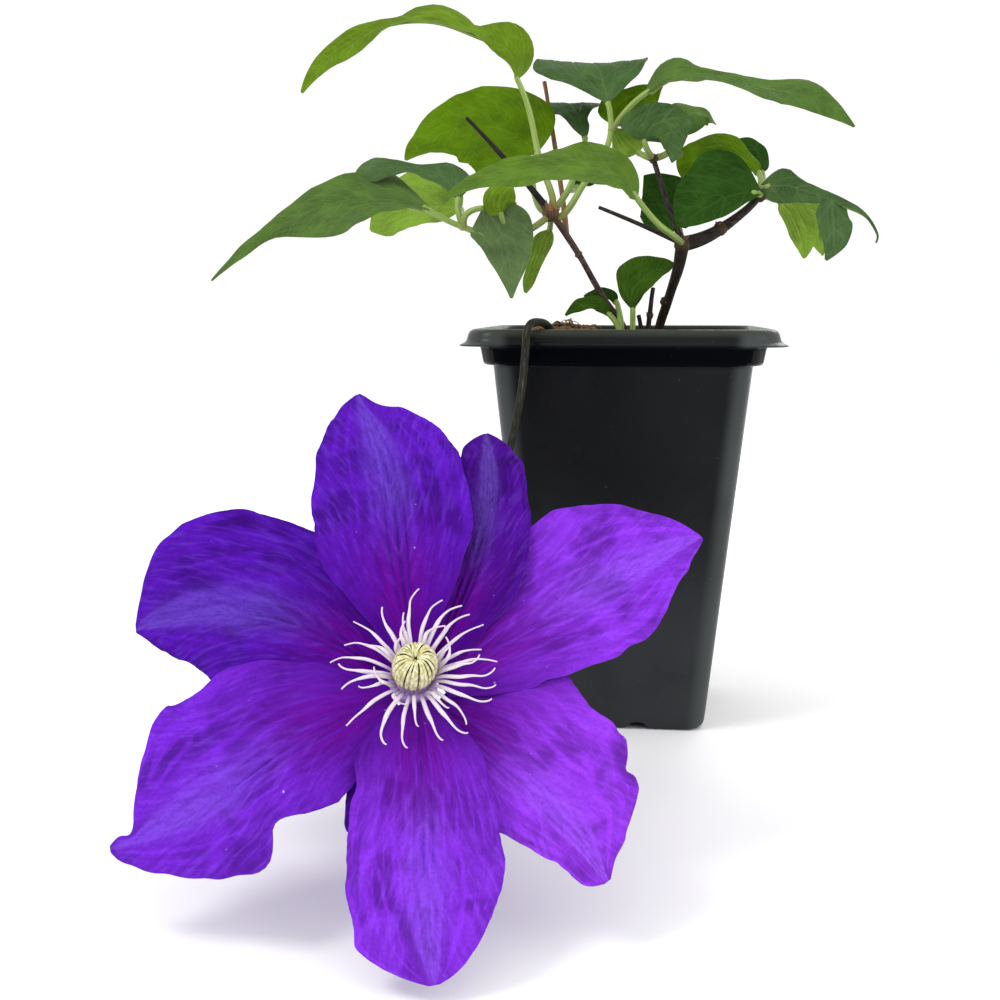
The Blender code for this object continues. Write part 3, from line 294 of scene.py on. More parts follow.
def sweep(shape, path, radii, sides, bumps=1.0, flat=1.0, wide=None, tint=0.0):
    """A closed round stalk along a path, its rings scaled by the bumps and flattened across wide."""
    ahead = unit(np.gradient(path, axis=0))
    right = np.array(wide if wide is not None else np.eye(3)[np.argmin(np.abs(ahead[0]))])
    rights = []
    for way in ahead:
        right = unit(right - way * (right @ way))
        rights.append(right)
    rights = np.array(rights)
    turns = turns_of(sides)
    size = np.asarray(radii)[:, None] * np.broadcast_to(bumps, (len(path), sides))
    ups = flat * np.cross(ahead, rights)
    ring = np.cos(turns)[:, None] * rights[:, None] + np.sin(turns)[:, None] * ups[:, None]
    places = path[:, None] + size[..., None] * ring
    tips = [path[0] - ahead[0] * radii[0] * 0.4, path[-1] + ahead[-1] * radii[-1] * 0.4]
    grid = np.arange(size.size).reshape(size.shape)
    caps = [
        np.stack([np.roll(grid[0], -1), grid[0], np.full(sides, grid.size)], -1),
        np.stack([grid[-1], np.roll(grid[-1], -1), np.full(sides, grid.size + 1)], -1),
    ]
    lengths = np.concatenate([[0], np.cumsum(np.linalg.norm(np.diff(path, axis=0), axis=1))])[:, None]
    first = np.stack(np.broadcast_arrays(lengths / lengths[-1], turns / math.pi - 1, 0.0), -1)
    second = np.stack(np.broadcast_arrays(lengths, size * turns, tint), -1)
    shape.add(
        np.concatenate([places.reshape(-1, 3), tips]), [ring_faces(grid), *caps],
        np.concatenate([first.reshape(-1, 3), [(0, 0, 0), (1, 0, 0)]]),
        np.concatenate([second.reshape(-1, 3), [(0, 0, tint), (lengths[-1, 0], 0, tint)]]),
    )


def ball(subdivisions):
    """The points and triangles of a unit ball."""
    bm = bmesh.new()
    bmesh.ops.create_icosphere(bm, subdivisions=subdivisions, radius=1.0)
    points = np.array([vert.co for vert in bm.verts])
    faces = np.array([[vert.index for vert in face.verts] for face in bm.faces])
    bm.free()
    return points, faces


class Value:
    """A number inside a material. Python's operators combine it with others."""

    def __init__(self, paint, socket):
        self.paint = paint
        self.socket = socket

    def __add__(self, other):
        return self.paint.math("ADD", self, other)

    def __sub__(self, other):
        return self.paint.math("SUBTRACT", self, other)

    def __mul__(self, other):
        return self.paint.math("MULTIPLY", self, other)

    def __abs__(self):
        return self.paint.math("ABSOLUTE", self)

    def fade(self, low, high, start=0.0, end=1.0):
        """A smooth step from start to end, as this value goes from low to high."""
        inputs = {0: self, 1: low, 2: high, 3: start, 4: end}
        return self.paint.put("MapRange", inputs, interpolation_type="SMOOTHSTEP")

    def mix(self, a, b):
        """A mix of two colours by this value: the first at 0, the second at 1."""
        a, b = ((*side, 1.0) if isinstance(side, tuple) else side for side in (a, b))
        return self.paint.put("Mix", {0: self, 6: a, 7: b}, 2, data_type="RGBA")


class Paint:
    """A Principled material, with short calls that add nodes to it."""

    def __init__(self, name, roughness, specular):
        self.material = bpy.data.materials.new(name)
        self.material.use_nodes = True
        self.tree = self.material.node_tree
        self.shader = self.tree.nodes["Principled BSDF"]
        self.shader.inputs["Roughness"].default_value = roughness
        self.shader.inputs["Specular IOR Level"].default_value = specular

    def put(self, kind, inputs, out=0, **settings):
        """A new node's output. The inputs are values to link or plain ones to set."""
        node = self.tree.nodes.new("ShaderNode" + kind)
        for key, value in settings.items():
            setattr(node, key, value)
        for key, value in inputs.items():
            if isinstance(value, Value):
                self.tree.links.new(value.socket, node.inputs[key])
            else:
                node.inputs[key].default_value = value
        return Value(self, node.outputs[out])

    def math(self, operation, *values):
        """A Math node's result."""
        return self.put("Math", dict(enumerate(values)), operation=operation)

    def split(self, vector):
        """The three numbers of a vector."""
        node = self.put("SeparateXYZ", {0: vector}).socket.node
        return [Value(self, out) for out in node.outputs]

    def mark(self, name):
        """The three numbers of one of the shape's marks."""
        return self.split(self.put("Attribute", {}, 1, attribute_name=name))

    def where(self):
        """The place on the object, in metres."""
        return self.put("TexCoord", {}, 3)

    def vector(self, x, y, z=0.0):
        """A vector of three values."""
        return self.put("CombineXYZ", {0: x, 1: y, 2: z})

    def noise(self, vector, scale, detail=3.0, distortion=0.0):
        """A noise value, from 0 to 1 about 0.5."""
        inputs = {"Vector": vector, "Scale": scale, "Detail": detail, "Distortion": distortion}
        return self.put("TexNoise", inputs)

    def finish(self, colour, height=None, strength=0.3, depth=0.2, roughness=None):
        """Links the colour, and a height in mm as bump, and returns the material."""
        links = {"Base Color": colour, "Roughness": roughness}
        if height is not None:
            inputs = {"Strength": strength, "Distance": depth * MM, "Height": height}
            links["Normal"] = self.put("Bump", inputs)
        for title, value in links.items():
            if value is not None:
                self.tree.links.new(value.socket, self.shader.inputs[title])
        return self.material


def shade(colour, factor):
    """A colour made darker or lighter."""
    return tuple(factor * value for value in colour)


def leaf_paint(name, top, vein, under):
    """A leaf's skin: paler veins, cross veins and a fine net, streaks along it and a paler under side."""
    paint = Paint(name, 0.6, 0.035)
    place = paint.where()
    share, side, on_vein = paint.mark("blade")
    along, across, below = paint.mark("span")
    light = shade(top, 1.2)
    patches = paint.noise(place, 110.0, 2.0)
    skin = patches.fade(0.3, 0.72).mix(shade(top, 0.78), light)
    streaks = paint.noise(paint.vector(side * 9.0, share * 1.3), 1.6)
    skin = streaks.fade(0.5, 0.75, 0.0, 0.45).mix(skin, light)
    net = paint.vector((along - abs(across) * 0.9) * 0.5, across * 0.3)
    inputs = {"Vector": net, "Scale": 1.0, "Randomness": 0.85}
    thread = paint.put("TexVoronoi", inputs, feature="DISTANCE_TO_EDGE").fade(0.02, 0.12, 1.0, 0.0)
    skin = (thread * 0.16).mix(skin, vein)
    skin = on_vein.fade(0.15, 1.0, 0.0, 0.3).mix(skin, vein)
    skin = share.fade(0.0, 0.1, 0.3, 0.0).mix(skin, shade(vein, 0.8))
    bow = along * 0.13 - abs(across) * 0.15 + paint.noise(place, 60.0, 1.0) * 0.5
    band = abs(paint.math("FRACT", bow) - 0.5)
    rib = band.fade(0.02, 0.09, 1.0, 0.0) * share.fade(0.9, 1.0, 1.0, 0.0)
    skin = (rib * 0.16).mix(skin, vein)
    back = on_vein.fade(0.1, 1.0, 0.0, 0.8).mix(under, vein)
    back = (thread * 0.3).mix(back, vein)
    height = paint.noise(place, 2600.0, 2.0) * 0.25 - thread * 0.7 - rib * 0.5
    return paint.finish(below.mix(skin, back), height, 0.45, 0.18, patches.fade(0.3, 0.7, 0.52, 0.68))


def petiole_paint():
    """A petiole's green skin, reddish near the stem, with fine lines along it."""
    paint = Paint("petiole", 0.5, 0.15)
    share, side, _ = paint.mark("blade")
    lines = paint.noise(paint.vector(side * 7.0, share * 2.0), 2.0)
    skin = lines.fade(0.35, 0.65).mix((0.15, 0.25, 0.045), (0.33, 0.44, 0.13))
    skin = share.fade(0.0, 0.16, 0.55, 1.0).mix((0.20, 0.13, 0.05), skin)
    return paint.finish(skin, lines, 0.4, 0.15)


def bark_paint(name, dark, light, strip=(0.36, 0.25, 0.17)):
    """Bark with long splits, lighter strips where it peels, and a tint towards pale brown or black."""
    paint = Paint(name, 0.75, 0.25)
    _, side, _ = paint.mark("blade")
    along, across, tint = paint.mark("span")
    fibres = paint.noise(paint.vector(across * 1.3, along * 0.16), 2.2, 5.0, 0.4)
    skin = fibres.fade(0.42, 0.68).mix(dark, light)
    patches = paint.noise(paint.where(), 240.0, 3.0)
    skin = patches.fade(0.52, 0.7, 0.0, 0.8).mix(skin, shade(dark, 0.45))
    strips = paint.noise(paint.vector(side * 3.0, along * 0.05), 1.6)
    skin = strips.fade(0.62, 0.72, 0.0, 0.6).mix(skin, strip)
    skin = tint.mix(skin, (0.33, 0.17, 0.06))
    skin = tint.fade(-1.0, 0.0, 0.92, 0.0).mix(skin, (0.007, 0.007, 0.006))
    return paint.finish(skin, fibres, 0.7, 0.35, fibres.fade(0.3, 0.7, 0.85, 0.6))


def sepal_paint(name, deep, main, lilac, glow):
    """A sepal's velvet: clouds, a lilac bar, a dark base partly of painted shade, magenta streaks, painted
    shade in the grooves and soft strokes.
    """
    paint = Paint(name, 0.8, 0.03)
    place = paint.where()
    share, side, on_vein = paint.mark("blade")
    along, across, below = paint.mark("span")
    width = abs(side)
    away = abs(across)
    skin = paint.noise(place, 85.0, 3.0, 0.6).fade(0.3, 0.6).mix(deep, main)
    mottle = paint.noise(paint.vector(side * 6.0, share * 2.6), 1.5, 2.0, 0.6)
    skin = mottle.fade(0.45, 0.68, 0.0, 0.6).mix(skin, shade(main, 1.35))
    fibres = paint.noise(paint.vector(across * 2.1, along * 0.33), 1.0, 3.0, 0.4)
    bar = width.fade(0.02, 0.42, 1.0, 0.0) * share.fade(0.2, 0.62)
    bar = bar * mottle.fade(0.3, 0.65, 0.4, 1.0) * fibres.fade(0.34, 0.6, 0.6, 1.0)
    skin = (bar * glow).mix(skin, lilac)
    # Darker towards the base across the full width: partly the sepal's own deep purple, partly painted shade
    # near the bloom's middle.
    base = share.fade(0.05, 0.6, 1.0, 0.0) * width.fade(0.0, 1.0, 0.6, 0.85)
    skin = base.mix(skin, (0.06, 0.001, 0.19))
    streak = paint.noise(paint.vector(side * 11.0, share * 1.6), 1.7, 3.0)
    flush = width.fade(0.1, 0.85, 1.0, 0.0) * share.fade(0.12, 0.6, 1.0, 0.0)
    flush = flush * streak.fade(0.38, 0.58, 0.2, 1.0)
    skin = flush.mix(skin, (0.125, 0.001, 0.25))
    # Painted shade: darker lines along the grooves.
    groove_shade = on_vein.fade(0.25, 1.0) * share.fade(0.2, 0.7, 0.5, 0.06)
    skin = groove_shade.mix(skin, shade(deep, 0.5))
    skin = fibres.fade(0.5, 0.72, 0.0, 0.25).mix(skin, deep)
    strokes = paint.vector((away - along * 0.36) * 0.8, (along + away * 0.36) * 0.14, side)
    velvet = paint.noise(strokes, 1.0, 4.0, 0.6)
    skin = velvet.fade(0.3, 0.58, 0.22, 0.0).mix(skin, shade(deep, 0.45))
    skin = (velvet.fade(0.48, 0.75, 0.0, 0.26) * share.fade(0.1, 0.5)).mix(skin, lilac)
    skin = paint.noise(place, 1300.0, 2.0).fade(0.35, 0.6, 0.16, 0.0).mix(skin, shade(deep, 0.5))
    skin = paint.noise(place, 700.0, 1.0).fade(0.8, 0.85, 0.0, 0.6).mix(skin, (0.62, 0.50, 0.80))
    back = mottle.fade(0.35, 0.65).mix((0.15, 0.045, 0.36), (0.24, 0.12, 0.48))
    back = width.fade(0.0, 0.3, 0.5, 0.0).mix(back, (0.16, 0.13, 0.22))
    return paint.finish(below.mix(skin, back), velvet, 0.3, 0.12)


def stamen_paint():
    """A filament: cream white with a lilac foot and faint lines."""
    paint = Paint("stamen", 0.55, 0.3)
    share, side, _ = paint.mark("blade")
    lines = paint.noise(paint.vector(side * 5.0, share * 4.0), 1.7)
    skin = lines.fade(0.35, 0.6).mix((0.60, 0.48, 0.66), (0.76, 0.70, 0.72))
    skin = share.fade(0.0, 0.34, 0.15, 1.0).mix((0.34, 0.18, 0.55), skin)
    skin = share.fade(0.86, 1.0, 0.0, 0.7).mix(skin, (0.70, 0.58, 0.60))
    return paint.finish(skin, lines, 0.25, 0.1)


def style_paint():
    """A style: pale yellow, with painted shade browner at the foot and a near black heart of painted shade.
    """
    paint = Paint("style", 0.55, 0.3)
    share, _, deep = paint.mark("blade")
    spots = paint.noise(paint.where(), 900.0, 3.0)
    skin = spots.fade(0.38, 0.6).mix((0.55, 0.50, 0.21), (0.80, 0.78, 0.52))
    # Painted shade: browner and darker towards the foot.
    skin = share.fade(0.0, 0.4, 0.15, 1.0).mix((0.27, 0.22, 0.07), skin)
    # Painted shade: the heart, marked deep, is near black.
    return paint.finish(deep.mix(skin, (0.05, 0.038, 0.012)), spots, 0.3, 0.1)


def soil_paint():
    """Soil, crumbs and fibres, each with its own tint."""
    paint = Paint("soil", 0.92, 0.15)
    tint = paint.mark("span")[2]
    clumps = paint.noise(paint.where(), 420.0, 5.0)
    skin = clumps.fade(0.35, 0.68).mix((0.022, 0.013, 0.008), (0.11, 0.062, 0.03))
    skin = tint.fade(0.0, 1.0, 0.0, 0.85).mix(skin, (0.40, 0.24, 0.11))
    return paint.finish(skin, paint.noise(paint.where(), 1700.0, 3.0), 0.8, 0.5)


def pot_paint(name, specular):
    """Moulded black plastic: a faint grain and dust, with painted reflections paler towards the foot, on the
    corners and on the lip's top, and painted shade on the band under the lip.
    """
    paint = Paint(name, 0.3, specular)
    place = paint.where()
    x, y, height = paint.split(place)
    dust_and_reflection = paint.noise(place, 26.0, 5.0, 0.5)
    skin = dust_and_reflection.fade(0.35, 0.75).mix((0.0042, 0.0048, 0.0052), (0.0085, 0.0095, 0.010))
    # Painted reflection of the floor: paler towards the foot, mottled by the dust noise.
    foot = height.fade(0.03, 0.085, 1.0, 0.0) * dust_and_reflection.fade(0.2, 0.7, 0.6, 1.0)
    skin = foot.mix(skin, (0.030, 0.032, 0.034))
    # Painted reflections: paler strips down the rounded corners, mottled by the dust noise.
    corner = paint.math("MINIMUM", abs(x), abs(y)) - height * 0.094
    corner_reflection = corner.fade(0.0215, 0.0262) * dust_and_reflection.fade(0.25, 0.6, 0.6, 1.0)
    skin = corner_reflection.mix(skin, (0.050, 0.056, 0.056))
    # Painted shade: the band under the lip is darker, near black.
    band = height.fade(0.1205, 0.122) * height.fade(0.1265, 0.1285, 1.0, 0.0)
    skin = band.mix(skin, (0.0015, 0.0018, 0.003))
    # Painted reflection: the lip's top is paler.
    skin = height.fade(0.130, 0.1325, 0.0, 0.8).mix(skin, (0.042, 0.046, 0.036))
    skin = paint.noise(place, 900.0, 2.0).fade(0.74, 0.8, 0.0, 0.35).mix(skin, (0.20, 0.19, 0.16))
    return paint.finish(skin, paint.noise(place, 1500.0, 3.0), 0.08, 0.08, dust_and_reflection.fade(0.3, 0.7, 0.22, 0.36))


def floor_paint():
    """The white studio floor."""
    paint = Paint("floor", 0.8, 0.1)
    return paint.finish(paint.noise(paint.where(), 3.0, 2.0).mix((0.95, 0.95, 0.95), (0.97, 0.97, 0.97)))


# The greens: a leaf's upper side, its veins and its under side
TONES = {
    "lime": ((0.100, 0.180, 0.007), (0.20, 0.31, 0.05), (0.20, 0.31, 0.05)),
    "bright": ((0.082, 0.168, 0.002), (0.16, 0.27, 0.02), (0.17, 0.29, 0.05)),
    "grass": ((0.076, 0.146, 0.014), (0.15, 0.25, 0.05), (0.16, 0.27, 0.05)),
    "dusty": ((0.100, 0.165, 0.058), (0.19, 0.27, 0.12), (0.20, 0.30, 0.12)),
    "green": ((0.060, 0.118, 0.020), (0.14, 0.22, 0.06), (0.15, 0.24, 0.07)),
    "slate": ((0.055, 0.110, 0.034), (0.12, 0.19, 0.08), (0.14, 0.22, 0.09)),
    "blue": ((0.044, 0.092, 0.024), (0.12, 0.185, 0.08), (0.13, 0.20, 0.08)),
    "moss": ((0.030, 0.080, 0.004), (0.08, 0.145, 0.03), (0.10, 0.17, 0.04)),
    "deep": ((0.016, 0.053, 0.005), (0.055, 0.115, 0.025), (0.08, 0.14, 0.04)),
    "pale": ((0.170, 0.290, 0.030), (0.31, 0.43, 0.09), (0.25, 0.38, 0.08)),
}
LEAF_PAINTS = {tone: leaf_paint(f"leaf_{tone}", *colours) for tone, colours in TONES.items()}
PETIOLE = petiole_paint()
BARK = {
    "stem_left": bark_paint("bark_left", (0.055, 0.028, 0.024), (0.15, 0.09, 0.07)),
    "stem_right": bark_paint("bark_right", (0.014, 0.010, 0.008), (0.052, 0.038, 0.029), (0.13, 0.10, 0.08)),
}
STALK = bark_paint("stalk", (0.010, 0.010, 0.006), (0.026, 0.026, 0.015))
STAMEN = stamen_paint()
STYLE = style_paint()
SOIL = soil_paint()
POT = pot_paint("pot", 0.1)
POT_BAND = pot_paint("pot_band", 0.015)


def rounded_square(half, z, corner):
    """A ring of points round a square with rounded corners."""
    turns = np.arange(4)[:, None] * math.pi / 2
    angles = turns + np.linspace(0, math.pi / 2, CORNER_STEPS + 1)
    reach = (half - corner) * math.sqrt(2)
    x = reach * np.cos(turns + math.pi / 4) + corner * np.cos(angles)
    y = reach * np.sin(turns + math.pi / 4) + corner * np.sin(angles)
    return np.stack([x, y, np.full_like(x, z)], -1).reshape(-1, 3)


def make_pot():
    """The pot: a tapered square shell with a stacking band, a flared lip, notches and drain holes."""
    rings = [rounded_square(half, z, corner) for half, z, corner in POT_SECTIONS]
    shape = Shape()
    shape.add(np.concatenate(rings), loft_faces(len(rings), len(rings[0])), 0.0, 0.0)
    pot = make_piece("pot", shape, [POT, POT_BAND], sharp=POT_SHARP)
    group = bpy.data.collections.new("pot_cuts")
    bpy.context.scene.collection.children.link(group)
    for side in range(4):
        turn = side * math.pi / 2
        for place, radius, tip in (
            ((NOTCH_OFFSET, -BASE_HALF, NOTCH_RISE - NOTCH_RADIUS), NOTCH_RADIUS, math.pi / 2),
            ((DRAIN_HOLE_OFFSET, DRAIN_HOLE_OFFSET, 0), DRAIN_HOLE_RADIUS, 0.0),
        ):
            size = dict(radius1=radius * MM, radius2=radius * MM, depth=CUT_DEPTH * MM)
            bm = bmesh.new()
            bmesh.ops.create_cone(bm, cap_ends=True, segments=CUT_SIDES, **size)
            mesh = bpy.data.meshes.new("cut")
            bm.to_mesh(mesh)
            bm.free()
            cut = bpy.data.objects.new("cut", mesh)
            cut.rotation_euler = (tip, 0, turn)
            cut.location = Matrix.Rotation(turn, 3, "Z") @ Vector(place) * MM
            group.objects.link(cut)
    bpy.context.view_layer.update()
    boolean = pot.modifiers.new("cuts", "BOOLEAN")
    boolean.operation = "DIFFERENCE"
    boolean.operand_type = "COLLECTION"
    boolean.collection = group
    boolean.solver = "MANIFOLD"
    cut_mesh = bpy.data.meshes.new_from_object(pot.evaluated_get(bpy.context.evaluated_depsgraph_get()))
    pot.modifiers.clear()
    pot.data = cut_mesh
    for face in cut_mesh.polygons:
        out = max(abs(face.center.x), abs(face.center.y)) > BAND_HALF * MM
        face.material_index = int(out and BODY_TOP_Z * MM < face.center.z < BAND_TOP_Z * MM)
    cut_mesh.shade_smooth()
    cut_mesh.set_sharp_from_angle(angle=math.radians(POT_SHARP))
    for cut in list(group.objects):
        bpy.data.objects.remove(cut)
    bpy.data.collections.remove(group)


def soil_height(x, y):
    """The soil's surface over a point, with its mounds and a coarse grain."""
    z = np.full(np.shape(x), SOIL_LEVEL)
    for (centre_x, centre_y), height, spread in SOIL_MOUNDS:
        z = z + height * np.exp(-((x - centre_x) ** 2 + (y - centre_y) ** 2) / spread**2)
    return z + SOIL_GRAIN * np.sin(0.9 * x + 0.4 * y) * np.cos(0.7 * y - 0.5 * x)


def add_crumbs(shape, draw):
    """Crumbs of bark and grit that lie on the soil."""
    points, faces = ball(1)
    for i in range(CRUMBS):
        x, y = draw.uniform(-39, 39), draw.uniform(-39, 39)
        size = draw.uniform(0.5, 1.0) * draw.choice((0.8, 1.0, 1.7))
        stretch = (draw.uniform(0.6, 1.6), draw.uniform(0.6, 1.2), draw.uniform(0.4, 0.8))
        turn = draw.uniform(0, math.pi)
        body = points * stretch * size * (1 + 0.25 * rough(100 + i, 1.0)(points))[:, None]
        place = (x, y, float(soil_height(x, y)) + 0.25 * size)
        tint = draw.choice((0.0, 0.1, 0.25, 0.5, 0.9))
        spin = np.array(Matrix.Rotation(turn, 3, "Z"))
        shape.add(body @ spin.T + place, [faces], 0.0, (0.0, 0.0, tint))


def add_fibres(shape, draw):
    """Fibres strewn over the soil, most of them on the larger mound."""
    for i in range(FIBRES):
        if i % 3 == 0:
            x, y = draw.uniform(-38, 38), draw.uniform(-38, 38)
        else:
            x, y = draw.gauss(-22, 9), draw.gauss(10, 9)
        x, y = max(-38, min(38, x)), max(-38, min(38, y))
        way = draw.uniform(0, 2 * math.pi)
        bend = draw.uniform(-0.5, 0.5)
        reach = draw.uniform(3.0, 9.0)
        route = []
        for step in range(6):
            x, y = x + reach / 5 * math.cos(way), y + reach / 5 * math.sin(way)
            way += bend
            x, y = max(-40, min(40, x)), max(-40, min(40, y))
            lift = draw.uniform(0.2, 1.1) + (1.2 if i % 7 == 0 and step > 2 else 0.0)
            route.append((x, y, float(soil_height(x, y)) + lift))
        path = path_at(route, np.linspace(0, 1, 9))
        sweep(shape, path, np.linspace(0.24, 0.12, 9), 4, tint=draw.uniform(0.35, 1.0))


def make_soil():
    """The soil: its body and lumpy surface, with what lies on it."""
    rings = []
    for section in SOIL_SECTIONS:
        ring = rounded_square(*section)
        rings.append(path_at(np.vstack([ring, ring[:1]]), np.arange(SOIL_RING) / SOIL_RING))
    edge = rings[-1] * (SOIL_HALF / SOIL_SECTIONS[-1][0])
    lumps = rough(21, 4.5)
    grains = rough(22, 1.6)
    for share in np.linspace(1.0, 0.03, 40):
        ring = edge * share
        fade = min(1.0, (1 - share) / 0.1)
        ring[:, 2] = (SOIL_LEVEL - 0.3) * (1 - fade) + soil_height(ring[:, 0], ring[:, 1]) * fade
        ring[:, 2] += (0.55 * lumps(ring) + 0.3 * grains(ring)) * fade
        rings.append(ring)
    shape = Shape()
    shape.add(np.concatenate(rings), loft_faces(len(rings), SOIL_RING), 0.0, 0.0)
    draw = random.Random(5)
    add_crumbs(shape, draw)
    add_fibres(shape, draw)
    make_piece("soil", shape, [SOIL], sharp=40)


def rooted(points):
    """A stalk's points with a straight foot added under the first one, down in the soil."""
    x, y, z = points[0]
    return [(x, y, ROOT_Z), (x, y, (ROOT_Z + z) / 2), *points]


# Every stem: its stretches as points, radii at even shares, and the nodes that swell on it
STEMS = {
    "stem_left": dict(
        stretches=[
            (rooted([(1, -4, 131), (-7, -8, 143), (-15, -12, 157), LEFT_NODE]), (1.2, 1.1, 1.0, 1.2)),
            ([LEFT_NODE, (-34, -19, 182), (-51, -22, 200)], (1.3, 0.8, 0.6)),
            ([(-19, -13.5, 163), (-22, 2, 181), (-29, 20, 217.5)], (1.0, 0.8, 0.7)),
        ],
        knobs=[(LEFT_NODE, 2.9), ((-15, -12, 157), 1.3)],
    ),
    "stem_right": dict(
        stretches=[
            (rooted([(11.7, 2, 131), (15, -4, 143), (17.5, -10, 152), RIGHT_NODE]), (1.45, 1.5, 1.6, 2.2)),
            ([RIGHT_NODE, (28, -14, 163), (38, -10, 170), BRANCH_NODE], (2.3, 1.9, 1.5, 1.2)),
            ([RIGHT_NODE, (5, -22, 166), (-8, -28, 171)], (0.9, 0.65, 0.55)),
            ([RIGHT_NODE, (14, -15, 164), (8, -14, 168)], (0.9, 0.6, 0.5)),
            ([RIGHT_NODE, (14, -12, 173), TWIG_NODE], (1.1, 0.9, 0.8)),
        ],
        knobs=[
            (RIGHT_NODE, 2.9), ((14, -3, 141.5), 1.9), ((31, -13, 165), 2.4), (BRANCH_NODE, 2.3),
            (TWIG_NODE, 1.7),
        ],
    ),
    "stub_tall": dict(
        stretches=[(rooted([(8.2, -10, 131), (9.7, -10.5, 146)]), (0.95, 0.9, 0.8))],
        knobs=[((8.7, -10.2, 137), 1.3)],
    ),
    "stub_short": dict(
        stretches=[(rooted([(6, -7, 131), (5, -7, 137)]), (0.9, 0.85, 0.8))],
        knobs=[],
    ),
}

# How far a stem's stretch takes the pale brown of young wood, or black below 0, and the left node's scales
TWIG_TINTS = {("stem_left", 1): -1.0, ("stem_left", 2): 0.6, ("stem_right", 1): -0.4}
SCALES = 9


def blade(tone, spine, face, *widths, **bends):
    """A blade of a leaf: its tone, its half widths and its form.

    The spine runs from base to tip. The face is the way the upper side looks, from base to tip. The
    widths are those at the stations to the left and right, or the greatest half width alone.
    """
    return tone, widths, dict(spine=spine, face=face, **bends)


